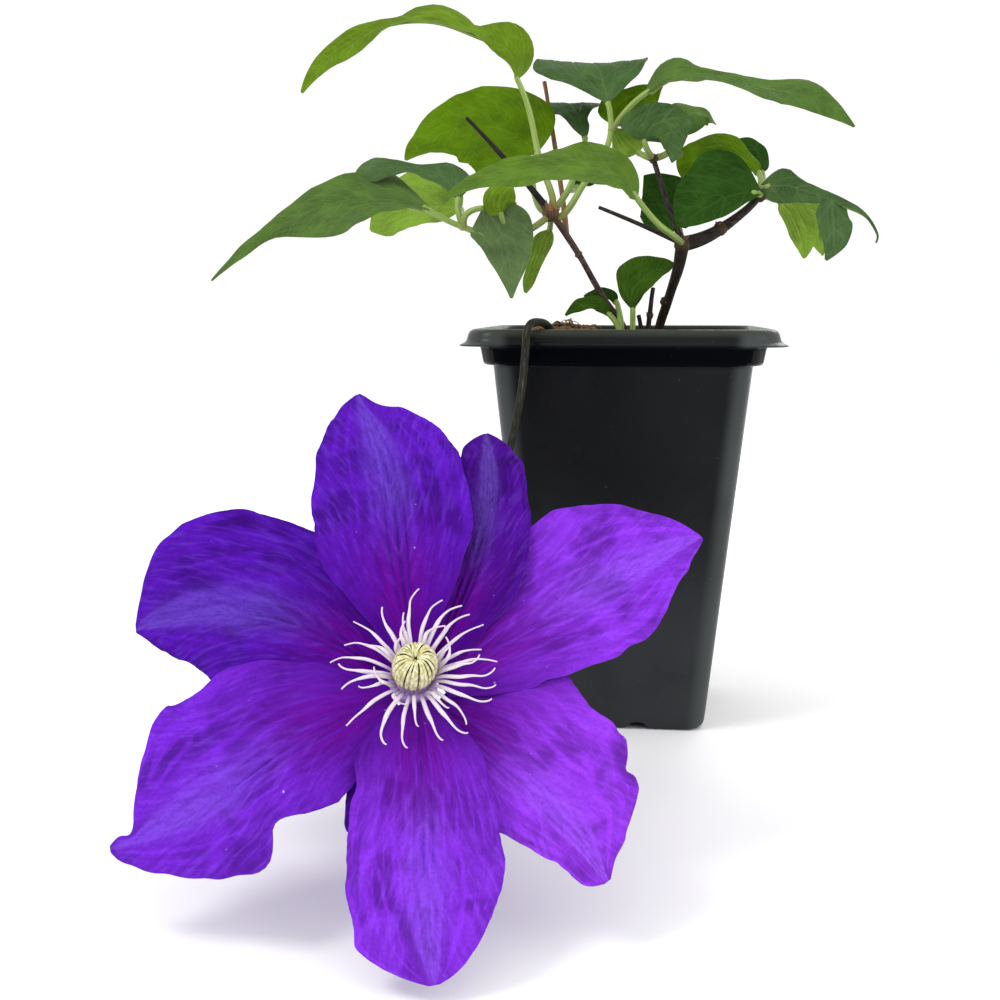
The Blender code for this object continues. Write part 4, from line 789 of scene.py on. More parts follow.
# Every leaf: its stalks, which run on into a blade as its midrib, and its blades
LEAVES = {
    "leaf_top_left": ("leaf_bright", [
        [LEFT_NODE, (-23.5, -17.5, 175), (-28, -12, 187), (-32, -10, 204), (-36, -8, 214)],
    ], [
        blade("lime", [(-36, -8, 214), (-38.5, -10, 222.5), (-48.5, -13, 227.5), (-63, -16, 231.5),
            (-77.5, -20, 229.5), (-88, -23, 223), (-97, -27, 216), (-103, -30, 207)],
            [(0.3, -0.95, 0.3), (0.1, -0.95, 0.31), (0, -0.32, 0.95), (0, -0.48, 0.88), (0, -0.42, 0.91),
            (0, -0.6, 0.8), (0.2, -0.8, 0.6), (0.3, -0.8, 0.55), (0.3, -0.8, 0.55)],
            (3.5, 7, 8, 6, 5, 3.2), (8.5, 6.5, 12.5, 4, 5, 3.4), fold=10, wave=0.5),
    ]),
    "leaf_round_back": ("leaf_bright", [
        [LEFT_NODE, (-28.5, -11, 173), (-31, -5, 182), (-30, -1, 191)],
    ], [
        blade("bright", [(-30, -1, 191), (-45, 6, 200.5), (-60.5, 7, 200), (-70.5, 3, 194.5),
            (-74.5, -2, 189)], [(0, -0.8, 0.6)],
            (19, 20, 19.5, 17, 13, 6.5), (13.5, 18, 18.5, 14, 9.5, 4.5), fold=4, wave=1.0),
    ]),
    "leaf_far_left": ("leaf_dark", [
        [LEFT_NODE, (-38, -24, 162), (-51, -30, 165), (-63, -34, 171)],
        [(-51, -30, 165), (-53, -28, 170), (-53, -28, 174)],
        [(-51, -30, 165), (-54, -14, 167), (-56, 2, 173)],
        [(-51, -30, 165), (-50, -31, 169), (-45, -29, 171)],
        [(-36, -23, 163), (-38, -26, 166), (-39, -29.8, 169)],
    ], [
        blade("green", [(-63, -34, 171), (-74.5, -42, 173), (-87.5, -49, 172), (-98.5, -55, 167),
            (-110.5, -60, 158.5), (-124, -62, 147.5)],
            [(-0.1, -0.55, 0.83), (-0.25, -0.6, 0.76), (-0.35, -0.6, 0.7)],
            (6, 11, 20, 24.5, 3.5, 2), (26, 17, 13.5, 9, 4.5, 4), fold=3, wave=0.6, lobe=3),
        blade("slate", [(-53, -28, 174), (-59, -27, 181.5), (-68, -27, 184), (-76.5, -28, 184),
            (-86, -29, 182.5)], [(0, -0.6, 0.8)],
            (2, 3.5, 5, 3, 4, 7.5), (7.5, 7, 4, 2.5, 4.5, 7.5), wave=0.6),
        blade("pale", [(-56, 2, 173), (-74, 10, 173.5), (-90, 12, 166.5)], [(0, -0.85, 0.5)],
            (5, 7, 7, 6.5, 7, 6.5), (7.5, 13, 15, 16.5, 14.5, 8.5), wave=0.6),
        blade("dusty", [(-45, -29, 171), (-39.5, -27, 163.5), (-37, -25, 154), (-36, -26, 142.5)],
            [(0, -1, 0.15)], (6.5, 10.5, 10, 8, 5.5, 2.5), (8, 8.5, 7.5, 6.5, 4.5, 2.5), fold=6, wave=0.4),
        blade("lime", [(-39, -29.8, 169), (-40, -30.2, 172), (-39, -29.6, 175), (-35.5, -27.6, 178)],
            [(0, -0.9, 0.4), (0, -0.8, 0.6)], (3, 4.5, 5, 5, 4.5, 3), (3, 5, 6, 6, 5, 3.5), wave=0.6),
    ]),
    "leaf_low_back": ("leaf_pale", [
        [LEFT_NODE, (-24.5, -11, 168), (-25, -6, 165.5)],
    ], [
        blade("pale", [(-25, -6, 165.5), (-29, 0, 156), (-34, 2, 144.5)], [(0.3, -0.9, 0.2)],
            (2, 2.5, 2, 1.6, 1.6, 1.5), (3.5, 4.5, 4, 3.5, 3, 2.5), wave=0.4),
    ]),
    "leaf_fan_up": ("leaf_dark", [
        [(-22.3, -15.2, 168), (-18.5, -14, 171.5), (-14, -12, 179), (-7, -9, 190), (-5, -7, 197),
         (-6, -7, 206)],
        [(-5, -7, 197), (1, -5, 205), (7, -4, 210)],
        [(-5, -7, 197), (-4, 0, 200)],
    ], [
        blade("blue", [(-6, -7, 206), (-8, -3, 213.5), (-10, 6, 220), (-14, 23, 223.5), (-20, 45, 222.5)],
            [(0, -0.75, 0.65), (0, -0.5, 0.85), (0, -0.1, 1), (0, 0.1, 1), (0, 0.1, 1)],
            (8, 20.5, 21.5, 19, 15, 8), (8, 15, 18, 17, 14, 8), fold=2, wave=1.0),
        blade("green", [(7, -4, 210), (15.5, -8, 214.5), (28, -12, 213.5), (42, -17, 209), (55.5, -21, 205.5),
            (64, -23, 201), (71, -24, 195)],
            [(0, -0.53, 0.85), (0, -0.62, 0.79), (0, -0.42, 0.91), (0, -0.42, 0.91), (0, -0.55, 0.83),
            (0.1, -0.73, 0.68), (0.2, -0.73, 0.65)],
            (12.5, 5, 4.5, 6, 10, 4), (3.5, 8, 4.5, 8.5, 9, 5.5), fold=2, wave=0.4, lobe=2),
        blade("bright", [(-4, 0, 200), (1, 8, 207), (7, 12, 211), (12, 12, 214)], [(0, -0.9, 0.4)],
            9, wave=1.2),
    ]),
    "leaf_fan_back": ("leaf_bright", [
        [LEFT_NODE, (-21.5, -12, 173.5), (-18.5, -7, 179), (-15, 6, 192), (-14, 9, 197)],
        [(-18.5, -7, 179), (-18, 2, 179), (-17, 10, 181)],
    ], [
        blade("slate", [(-14, 9, 197), (-17, 16, 205), (-21, 32, 212), (-25, 46, 211)],
            [(0, -0.5, 1), (0, 0, 1)], (3, 6, 8, 9.5, 9, 6), (2.5, 3.5, 7, 12, 12, 6), wave=0.8),
        blade("deep", [(-17, 10, 181), (-13, 17, 186.5), (-8, 21, 190), (-2, 24, 191.5)], [(0, -1, 0.3)],
            (4, 7, 8.5, 8.5, 7, 4.5), (3, 4.5, 5, 5, 4, 2.5), wave=0.6),
    ]),
    "leaf_front_long": ("leaf_bright", [
        [RIGHT_NODE, (16, -24, 162), (10, -34, 166), (3, -42, 174)],
    ], [
        blade("grass", [(3, -42, 174), (-3.5, -46, 180), (-19, -52, 181.5), (-36.5, -58, 178.5),
            (-46.5, -62, 174.5), (-53, -64, 169.5)], [(0, -0.6, 0.8), (0, -0.5, 0.87)],
            (9, 11, 12, 11.5, 8, 4), (12, 13, 10.5, 7, 6, 4.5), fold=4, wave=1.0, lobe=2),
    ]),
    "leaf_low_centre": ("leaf_dark", [
        [RIGHT_NODE, (18.5, -10, 163), (18, -5, 166)],
    ], [
        blade("deep", [(18, -5, 166), (15, 2, 173), (12, 4, 178), (6, 6, 184)], [(0, -1, 0.2)],
            11, fold=8, wave=1.2, lobe=2),
    ]),
    "leaf_centre": ("leaf_dark", [
        [TWIG_NODE, (7, -11, 190.5), (6, -13, 193)],
    ], [
        blade("blue", [(6, -13, 193), (8, -15.5, 197), (14, -17, 199.5), (22, -14, 199.5)], [(0, -1, 0.2)],
            (9, 8, 7, 5.5, 3.5, 1.5), (12.5, 13.5, 14, 13.5, 11, 6.5), wave=0.5),
    ]),
    "leaf_crescent": ("leaf_pale", [
        [TWIG_NODE, (6.5, -5.5, 189), (4, -1, 191)],
    ], [
        blade("pale", [(4, -1, 191), (0, 4, 195), (-4, 8, 200)], [(0, -1, 0.2)], 6, wave=0.6),
    ]),
    "leaf_arch_back": ("leaf_dark", [
        [TWIG_NODE, (13.5, -4.5, 190), (17, 6, 196), (20, 14, 198)],
    ], [
        blade("green", [(20, 14, 198), (20.5, 17, 204), (24, 22, 207), (31, 26, 203)],
            [(0, -0.7, 0.7), (0.3, -0.5, 0.8)], 7.5, wave=1.0),
    ]),
    "leaf_right_back": ("leaf_pale", [
        [BRANCH_NODE, (44.5, -4, 180), (44, 0, 184)],
        [(44.5, -4, 180), (46, 4, 181), (46, 10, 185)],
    ], [
        blade("bright", [(44, 0, 184), (40, 2, 188.5), (31, 5, 192), (24, 5, 189.5), (19.5, 1, 182)],
            [(0.1, -0.6, 0.8), (-0.1, -0.7, 0.7)], (5, 8, 9, 9, 8, 5), (3, 5, 8, 9.5, 8, 5), wave=0.8),
        blade("deep", [(46, 10, 185), (45.5, 13, 190.5), (42, 16, 195), (36, 20, 196.5)],
            [(0, -1, 0.3), (0, -0.8, 0.6)], (3, 4.5, 5, 5, 4, 2.5), (2, 2.5, 3, 3, 2.5, 1.5), wave=0.4),
    ]),
    "leaf_heart": ("leaf_dark", [
        [BRANCH_NODE, (43, -13, 176), (41, -17, 176)],
    ], [
        blade("deep", [(41, -17, 176), (34, -20, 175), (25.5, -22, 171), (16.5, -24, 165)],
            [(0.15, -0.9, 0.4), (0.1, -0.9, 0.4)],
            (2.5, 4.5, 5.5, 5.5, 4.5, 3), (11.5, 16, 16.5, 13.5, 11.5, 7.5), fold=3, wave=0.5, lobe=3),
    ]),
    "leaf_drape": ("leaf_dark", [
        [BRANCH_NODE, (45, -10, 177.5), (46, -12, 178.5)],
    ], [
        blade("blue", [(46, -12, 178.5), (52.5, -16, 178), (61, -19, 175), (69, -22, 171.5), (75.5, -24, 168),
            (79, -25, 162.5), (78.5, -25, 159.5)],
            [(-0.2, -0.9, 0.4), (0.2, -0.75, 0.6), (0.3, -0.7, 0.6), (0.7, -0.3, 0.5)],
            (7, 5, 4, 3, 2.5, 0.6), (5.5, 6.5, 3.5, 1, 0.6, 0.9), fold=-6, wave=0.3, lobe=3),
        blade("slate", [(65, -21, 173.5), (65.5, -23, 166.5), (66.5, -21, 160), (64, -20, 154.5)],
            [(0.2, -1, 0.1), (0.3, -1, 0.1)], (4, 5, 6, 6, 4.5, 2), (4, 5.5, 5, 4.5, 4, 2.5), wave=0.4),
    ]),
    "leaf_low_right": ("leaf_pale", [
        [BRANCH_NODE, (48, -2, 175.5), (51, 2, 175)],
        [(48, -2, 175.5), (54, 4, 177), (59, 8, 175)],
    ], [
        blade("pale", [(51, 2, 175), (57.5, 6, 167), (60.5, 6, 156)], [(0, -1, 0.1)],
            (5, 7, 7.5, 7.5, 6, 3.5), (2.5, 3, 3.5, 3.5, 3, 2), fold=8, wave=0.8),
        blade("pale", [(59, 8, 175), (64, 9, 167), (67, 9, 157)], [(0.1, -1, 0.1)], 5.5, fold=8, wave=0.8),
    ]),
    "leaf_basal": ("leaf_bright", [
        rooted([(3.1, -14.5, 131), (3, -15, 139)]),
    ], [
        blade("moss", [(3, -15, 139), (3, -15, 145), (8, -12, 150.5), (16.5, -8, 154)], [(-0.3, -0.85, 0.45)],
            (2, 5.5, 9.5, 8.5, 6.5, 4.5), (3, 4.5, 5.5, 4.5, 4, 3), fold=6, wave=0.5),
    ]),
    "shoot_small": ("leaf_dark", [
        rooted([(-1, -12, 131), (-5, -10, 137.5)]),
        [(-1, -12, 131), (-1, -9, 135), (-2.5, -3, 141.5)],
    ], [
        blade("moss", [(-5, -10, 137.5), (-10.5, -13, 140.5), (-19, -17, 137)],
            [(-0.2, -0.85, 0.5), (-0.3, -0.85, 0.5)],
            (1.5, 2, 2, 1.8, 1.5, 1), (2.5, 3.5, 4, 3.8, 3, 1.8), wave=0.4),
        blade("deep", [(-2.5, -3, 141.5), (-7, -3, 144.5), (-13.5, -4, 143.2)], [(0, -0.8, 0.6)],
            (1, 1.5, 1.5, 1.3, 1, 0.7), (1.8, 2.4, 2.4, 2, 1.5, 1), wave=0.3),
    ]),
}


# The stalk of the bloom: from the soil over the pot's front edge, down its face and out to the bloom
STALK_ROUTE = [
    (-21, -33, 129), (-23.5, -41, 134.2), (-26.5, -47.5, 135.2), (-28.5, -52.6, 133.4), (-29, -54.2, 127),
    (-30, -55.5, 115), (-33, -62, 98), (-39, -80, 78), (-44, -108, 61), (-46, -133, 50),
]

# The sepals. A spine is in the bloom's own frame: to the right, up, and out towards the viewer. The
# half widths are those to the left and right of the way that the spine runs, at the stations, or the
# same on both sides where only the left ones stand here. Layer 0 is in front, and each sepal lies
# behind the neighbours that overlap it. Light is painted light and shade in each sepal's colour: it
# goes from 0, a sepal painted as in shade, to 1, a sepal painted as lit.
SEPALS = {
    "sepal_top": dict(
        spine=[(-1, 5.1, 0), (-7, 33, 2), (-13, 58, 3), (-26.5, 91, -2)], layer=0, wave=1.5, light=0.33,
        left=(7.5, 13, 18, 20.5, 20.5, 20.5, 20, 18, 14.5, 12, 8.5, 5),
        right=(7.5, 12, 16.5, 19, 19.5, 19, 19, 17.5, 14, 10, 3.5, 1.5)),
    "sepal_top_right": dict(
        spine=[(2.2, 4.6, 0), (10, 30, 0), (13, 54, 1), (10, 80.5, -4)], layer=1, wave=1.2, light=0.0,
        left=(6, 10.5, 14, 15.5, 16, 15.5, 14.5, 13, 10.5, 8.5, 6.5, 4),
        right=(6, 9, 13, 13.5, 12.5, 12, 11, 10, 9, 7, 5, 2.5)),
    "sepal_right": dict(
        spine=[(4.6, 2.2, 0), (27, 19.5, 0), (48, 33, 1), (68, 47, -2)], layer=2, wave=1.6, light=0.85,
        left=(6, 12, 17, 20.5, 24, 25, 24.5, 22.5, 19, 16, 12.5, 6.5),
        right=(10, 14, 16, 18.5, 19.5, 19, 18, 15.5, 10, 7.5, 4.5, 2)),
    "sepal_lower_right": dict(
        spine=[(3.8, -3.4, 0), (21, -17, 0), (35, -30, 0), (46.5, -42.5, -3)], layer=3, wave=1.5, light=0.97,
        nicks=[(0.65, 0, 1.2, 0.03), (0.735, 0, -1.5, 0.025), (0.81, 0, 0.5, 0.015), (0.92, 0, 1.3, 0.02)],
        left=(13, 21, 26, 25, 24, 25, 24, 21.5, 18.5, 14, 6.5, 2.5),
        right=(9.5, 11.5, 12.5, 13.5, 13, 12.5, 11.5, 9.5, 7.5, 6, 5.5, 4)),
    "sepal_bottom": dict(
        spine=[(0.8, -5.1, 0), (5, -26, 1), (8, -48, 2), (12, -69, 0)], layer=0, wave=1.2, light=0.78,
        left=(8.5, 12.5, 14.5, 15.5, 16.5, 17, 17.5, 16.5, 14, 12, 8.5, 5),
        right=(11, 14.5, 15, 16.5, 16.5, 16, 16, 16.5, 15, 14.5, 10.5, 5)),
    "sepal_small": dict(
        spine=[(-1.6, -4.9, 0), (-6, -21, 0), (-11, -36, 0)], layer=1.8, wave=0.4, light=0.0,
        left=(3, 4.5, 6, 6.5, 7, 7, 6.5, 5.5, 4.5, 3.5, 2.5, 1.5)),
    "sepal_lower_left": dict(
        spine=[(-3.9, -3.3, 0), (-24, -14, 0), (-42, -30, 0), (-64.5, -42, -2)],
        layer=1, wave=1.6, light=0.62,
        left=(9, 14.5, 18.5, 17.5, 14.5, 15, 22, 19, 14, 11, 7.5, 4),
        right=(10, 17, 22, 26.5, 26, 27, 27, 26, 19.5, 14.5, 2.5, 2)),
    "sepal_left": dict(
        spine=[(-5.1, 1.6, 0), (-28, 16, 0), (-50, 21, -1), (-75, 17.5, -5)], layer=2.4, wave=1.6, light=0.22,
        left=(6.5, 11, 15, 18, 20, 21, 21, 17.5, 13, 10.5, 7, 3),
        right=(6, 12, 17.5, 22.5, 27, 28.5, 29.5, 31, 29, 27.5, 23, 11)),
}

# The stamens: the way each one points, in degrees from the bloom's right, its reach from the bloom's
# axis, and how many degrees its tip curls on
STAMENS = [
    (12, 19, -5), (3, 15, 8), (350, 18.5, 8), (342, 19.5, 5), (330, 20, 6), (320, 19, -5), (309, 13.5, 2),
    (304, 21.5, 5), (292, 19.5, 3), (276, 15.5, 3), (265, 20, 6), (248, 20.5, 9), (227, 21, 2),
    (208, 13.5, -4), (195, 17.5, 7), (183, 18, -5), (168, 20, 8), (153, 18, 9), (149, 13.5, 6),
    (140, 20, 3), (126, 18.5, -4), (118, 12, -9), (110, 15, -3), (103, 20.5, -8), (86, 18.5, -9),
    (80, 12.5, -16), (72, 19, -10), (61, 19, -7), (57, 12.5, 4), (41, 18.5, -4), (33, 10, 6), (26, 16, -5),
    (237, 9, 24), (214, 9.5, -26), (18, 10, 28), (132, 10, -22),
]


def leaf_widths(shares, widths):
    """A leaf's half widths to its left and right: through those at its stations, or by its profile.

    The profile is rounded at the base and drawn out at the tip.
    """
    if len(widths) == 2:
        return through(shares, LEAF_STATIONS, widths, TIP_HALF_WIDTH)
    rise, fall = LEAF_PROFILE
    peak = rise / (rise + fall)
    width = widths[0] * shares**rise * (1 - shares) ** fall / (peak**rise * (1 - peak) ** fall)
    return np.maximum(TIP_HALF_WIDTH, np.stack([width, width], axis=1))


def through(shares, stations, widths, base):
    """Half widths to the left and right through those at the stations, from the base's to the tip's."""
    values = [(base, base), *zip(*widths), (TIP_HALF_WIDTH, TIP_HALF_WIDTH)]
    return np.maximum(TIP_HALF_WIDTH, flow((0, *stations, 1), values, shares))


def blade_points(shares, sides, widths, spine, face, fold=0, wave=0, lobe=0, quiet=0):
    """The blade's surface: one row for each share of its length, one column for each side value.

    The face turns through the given ones from base to tip. The fold lifts both halves, the wave
    ripples the margins, beyond the quiet share, and the lobe draws the base back past its stalk.
    """
    places = path_at(spine, shares)
    fine = np.linspace(0, 1, 60)
    ahead = unit(np.gradient(path_at(spine, fine), axis=0))
    along = unit(np.stack([np.interp(shares, fine, ahead[:, i]) for i in range(3)], axis=1))
    turns = np.linspace(0, 1, len(face))
    up = unit(np.stack([np.interp(shares, turns, unit(face)[:, i]) for i in range(3)], axis=1))
    across = unit(np.cross(along, up))
    normal = np.cross(across, along)[:, None]
    side = sides[None, :, None]
    share = shares[:, None, None]
    width = np.where(side < 0, widths[:, :1, None], widths[:, 1:, None])
    bend = math.radians(fold)
    phase = sum(spine[0]) % 6
    ripple = np.sin(2 * math.pi * 2.3 * share + phase + 1.9 * np.sign(side)) * side**2
    envelope = np.sin(math.pi * np.clip((share - quiet) / (1 - quiet), 0, 1)) ** 0.7
    lift = np.abs(side) * width * math.sin(bend) + wave * ripple * envelope
    back = lobe * np.abs(side) ** 1.5 * (1 - share) ** 4
    out = side * width * math.cos(bend) * across[:, None]
    return places[:, None] + out + lift * normal - back * along[:, None]


def side_values(veins, count):
    """Columns across a blade: evenly spread, with closer ones at its veins and its margins."""
    values = set(np.round(np.linspace(-1, 1, count), 3).tolist()) | {-0.985, 0.985}
    for line, _, _ in veins:
        values |= {round(line + step, 3) for step in (-0.05, -0.025, 0, 0.025, 0.05)}
    return np.array(sorted(values))


def add_blade(
    shape, rows, count, thickness, widths, veins, relief, dent=0.3, grain=5.0, slot=0, seed=0, **form
):
    """Adds a thin closed blade with sunken veins above and raised ones below. Returns its midline."""
    shares = BLADE_END + (1 - 2 * BLADE_END) * (1 - np.cos(np.linspace(0, 1, rows) * math.pi)) / 2
    sides = side_values(veins, count)
    halves = widths(shares)
    places = blade_points(shares, sides, halves, **form)
    share, side = np.meshgrid(shares, sides, indexing="ij")
    half = np.where(side < 0, halves[:, :1], halves[:, 1:])
    centre = len(sides) // 2
    steps = np.linalg.norm(np.diff(places[:, centre], axis=0), axis=1)
    along = np.concatenate([[0], np.cumsum(steps)])[:, None] + 0 * share
    across = side * half
    on_vein = 0 * share
    for line, strength, size in veins:
        reach = strength * np.clip((1 - share) * 2.5, 0, 1) * np.clip(half / 3, 0, 1)
        on_vein = np.maximum(on_vein, reach * np.exp(-(((side - line) * half / size) ** 2)))
    normal = unit(np.cross(np.gradient(places, axis=1), np.gradient(places, axis=0)))
    flat = np.stack([across, along, 3.0 * seed + 0 * share], axis=-1)
    room = relief * np.clip(half / 6, 0, 1) * np.clip(share * 8, 0, 1) * np.clip((1 - share) * 8, 0, 1)
    pucker = room * (rough(seed, grain)(flat) + 0.5 * rough(seed + 1, 0.48 * grain)(flat)) * (1 - on_vein)
    frill = 1.3 * room * rough(seed + 2, 0.6 * grain)(flat) * np.abs(side) ** 6
    middle = places + (pucker + frill)[..., None] * normal
    body = (thickness / 2 * (1 - 0.6 * np.abs(side) ** 6))[..., None] * normal
    dent = (dent * on_vein)[..., None] * normal
    first = np.stack([share, side, on_vein], axis=-1).reshape(-1, 3)
    second = np.stack([along, across, 0 * share], axis=-1).reshape(-1, 3)
    shape.add(
        np.concatenate([(middle + body - dent).reshape(-1, 3), (middle - body - 0.6 * dent).reshape(-1, 3)]),
        sheet_faces(len(shares), len(sides)),
        np.concatenate([first, first]), np.concatenate([second, second + (0, 0, 1)]), slot,
    )
    return shares, middle[:, centre], normal[:, centre]


def make_leaf(node, number, colour, stalks, blades):
    """A leaf: its blades, and petioles that run on under the blades as midribs."""
    shape = Shape()
    tones = sorted({tone for tone, _, _ in blades})
    midlines = {}
    for i, (tone, widths, form) in enumerate(blades):
        rows, count = (60, 27) if np.max(widths[-1]) > LARGE_HALF_WIDTH else (40, 19)
        midlines[form["spine"][0]] = add_blade(
            shape, rows, count, LEAF_THICKNESS, lambda shares, widths=widths: leaf_widths(shares, widths),
            LEAF_VEINS, LEAF_RELIEF, slot=1 + tones.index(tone), seed=17 * number + i, **form,
        )
    for points in stalks:
        path = path_at(points, np.linspace(0, 1, 6 * len(points)))
        radii = np.linspace(*PETIOLE_RADIUS, len(path))
        if points[-1] in midlines:
            shares, middle, normal = midlines[points[-1]]
            run = (shares > 0.01) & (shares < MIDRIB_REACH)
            thin = PETIOLE_RADIUS[1] * (1 - shares[run] / MIDRIB_REACH) ** 1.3 * 0.85 + 0.12
            path = np.concatenate([path, middle[run] - (thin + MIDRIB_SINK)[:, None] * normal[run]])
            radii = np.concatenate([radii, thin])
        sweep(shape, path, radii, 10, bumps=1 + 0.05 * np.cos(5 * turns_of(10)))
    make_piece(node, shape, [PETIOLE, *(LEAF_PAINTS[tone] for tone in tones)])


def add_scale(shape, foot, tip, bulge, size, radii, sides, flat, tint):
    """A small pointed scale or bud, whose middle bulges out from the line from foot to tip."""
    path = path_at([foot, (foot + tip) / 2 + bulge, tip], np.linspace(0, 1, len(radii)))
    sweep(shape, path, size * np.array(radii), sides, flat=flat, tint=tint)


def add_papery_scales(shape, node_place):
    """The papery bud scales that stand on a node."""
    draw = random.Random(12)
    for i in range(SCALES):
        angle = i * GOLDEN_TURN
        x, y = math.cos(angle), math.sin(angle)
        foot = np.array(node_place) + (1.1 * x, 1.1 * y - 0.8, -0.6)
        tip = foot + (0.9 * x - 0.5, 0.6 * y - 0.6, draw.uniform(4.0, 6.4))
        size = draw.uniform(0.7, 1.0)
        add_scale(shape, foot, tip, (0.5 * x, -0.3, 0), size, SCALE_RADII, 9, 0.3, draw.uniform(0.35, 1.0))


def make_stem(node, number, stretches, knobs):
    """A woody stem: ridged stretches, swollen nodes and bud scales."""
    shape = Shape()
    draw = random.Random(40 + number)
    ridge = rough(60 + number, 1.6)
    lumps = rough(70 + number, 3.5)
    sides = 18
    turns = turns_of(sides)
    for i, (points, radii) in enumerate(stretches):
        length = float(np.linalg.norm(np.diff(np.array(points, float), axis=0), axis=1).sum())
        count = max(12, int(length * 1.6))
        shares = np.linspace(0, 1, count)
        path = path_at(points, shares)
        sizes = np.interp(shares, np.linspace(0, 1, len(radii)), radii)
        height = 0.22 * path[:, 2:] + 9.0 * i
        wrap = np.stack(np.broadcast_arrays(2.2 * np.cos(turns), 2.2 * np.sin(turns), height), -1)
        bumps = 1 + 0.1 * ridge(wrap) + 0.1 * lumps(wrap * (1, 1, 3))
        sweep(shape, path, sizes, sides, bumps=bumps, tint=TWIG_TINTS.get((node, i), 0.0))
    if node == "stem_left":
        add_papery_scales(shape, LEFT_NODE)
    points, faces = ball(3)
    for centre, radius in knobs:
        swell = 0.94 * radius * (1 + 0.09 * ridge(points * 3.0 + centre[0]) + 0.08 * lumps(points * 5.0))
        grain = np.stack([np.zeros(len(points)), np.arctan2(points[:, 1], points[:, 0]), points[:, 2]], -1)
        shape.add(points * swell[:, None] + centre, [faces], grain, grain * (0, 1, 0) + (0, 0, 0.1))
        for i in range(7):
            angle = i * GOLDEN_TURN + draw.uniform(-0.3, 0.3)
            way = unit((math.cos(angle), math.sin(angle), draw.uniform(0.1, 0.9)))
            foot = np.array(centre) + way * radius * 0.7
            tip = foot + way * radius * draw.uniform(0.35, 0.7) + (0, 0, 0.25 * radius)
            add_scale(shape, foot, tip, (0, 0, 0.1), radius, BUD_RADII, 7, 0.45, draw.uniform(0.1, 0.6))
    make_piece(node, shape, [BARK["stem_left" if node == "stem_left" else "stem_right"]], sharp=70)


RIGHT = np.array((1.0, 0.0, 0.0))
OUT = np.array((0.0, -math.cos(BLOOM_LEAN), math.sin(BLOOM_LEAN)))
UP = np.cross(OUT, RIGHT)


def in_bloom(places):
    """Points of the bloom's own frame, in the part's frame."""
    return np.asarray(places, float) @ np.stack([RIGHT, UP, OUT]) + BLOOM_CENTRE


def around(radius, angle, out):
    """A point at this radius and angle round the bloom's axis."""
    return radius * math.cos(angle), radius * math.sin(angle), out


def leaning(radius, angle, out):
    """A point round the axis of the bloom's middle, which leans a little to the right and up."""
    across, up, _ = around(radius, angle, out)
    return across + MIDDLE_LEAN[0] * out, up + MIDDLE_LEAN[1] * out, out


def turned(profile, sides, place=around, ripple=0.0):
    """Rings of points round the bloom's axis, through a profile of radii and distances out."""
    return in_bloom([
        place(radius * (1 + ripple * math.cos(8 * angle)), angle, out)
        for radius, out in profile for angle in turns_of(sides)
    ])


def across_at(angle):
    """The direction across a filament or a style that points this way."""
    return in_bloom(around(1, angle + math.pi / 2, 0)) - BLOOM_CENTRE


def make_sepal(node, number, spine, layer, wave, light, left, right=None, nicks=()):
    """One sepal, its claw beside the receptacle and its layer behind those in front of it.

    A nick has its share, its side (0 is left), how far it stands out in mm, and its spread.
    """
    depth = -1.0 - LAYER * layer
    places = [tuple(in_bloom((across, up, out + depth))) for across, up, out in spine]
    # Painted light and shade: each sepal's colour, and the strength of its lilac bar, follow its light.
    main = np.array((0.06 + 0.21 * light**1.8, 0.004 + 0.036 * light**2, 0.24 + 0.48 * light))
    lilac = tuple(main + (0.05, 0.055, 0.12))
    paint = sepal_paint(node, shade(main, 0.52), shade(main, 1.04), lilac, 0.9 - 0.2 * light)
    length = float(np.linalg.norm(np.diff(np.array(spine, float), axis=0), axis=1).sum())
    ragged = rough(300 + number, 5.0)
    nicked = rough(320 + number, 1.9)

    def widths(shares):
        halves = through(shares, SEPAL_STATIONS, (left, right or left), SEPAL_CLAW)
        edge = np.zeros_like(halves)
        for i in (0, 1):
            place = np.stack([40.0 * i + 0 * shares, length * shares, 0.6 * halves[:, i]], axis=1)
            edge[:, i] = 0.38 * ragged(place) + 0.16 * nicked(place)
        for share, i, out, spread in nicks:
            edge[:, i] += out * np.exp(-(((shares - share) / spread) ** 2))
        fade = np.clip(shares * 4, 0, 1) * np.clip((1 - shares) * 12, 0, 1)
        return np.maximum(TIP_HALF_WIDTH, halves + edge * fade[:, None])

    shape = Shape()
    rows = 110 if len(spine) > 3 else 50
    add_blade(
        shape, rows, 33, SEPAL_THICKNESS, widths, SEPAL_VEINS, SEPAL_RELIEF, dent=0.35, grain=9.0,
        seed=200 + 3 * number, spine=places, face=[OUT], fold=3, wave=wave, quiet=0.3,
    )
    make_piece(node, shape, [paint])


def make_bloom_stalk():
    """The long stalk of the bloom with the receptacle that carries its sepals."""
    back = -RECEPTACLE_DEPTH
    shape = Shape()
    route = rooted(STALK_ROUTE) + [tuple(in_bloom((0, -1.5, back - 7))), tuple(in_bloom((0, 0, back + 2)))]
    shares = np.linspace(0, 1, 150)
    sizes = np.interp(shares, np.linspace(0, 1, len(STALK_RADII)), STALK_RADII)
    sweep(shape, path_at(route, shares), sizes, 14, bumps=1 + 0.06 * np.cos(6 * turns_of(14)))
    profile = [
        (1.2, back - 2.5), (1.7, back - 1.8), (2.6, back - 0.8), (4.0, back - 0.1), (4.8, back + 0.8),
        (RECEPTACLE_RADIUS, back + 2.0), (RECEPTACLE_RADIUS, -1.2), (4.85, -0.5), (4.4, 0.0),
    ]
    shape.add(turned(profile, 40, ripple=0.015), loft_faces(len(profile), 40), 0.0, 0.0, slot=1)
    make_piece("bloom_stalk", shape, [STALK, STAMEN], sharp=60)


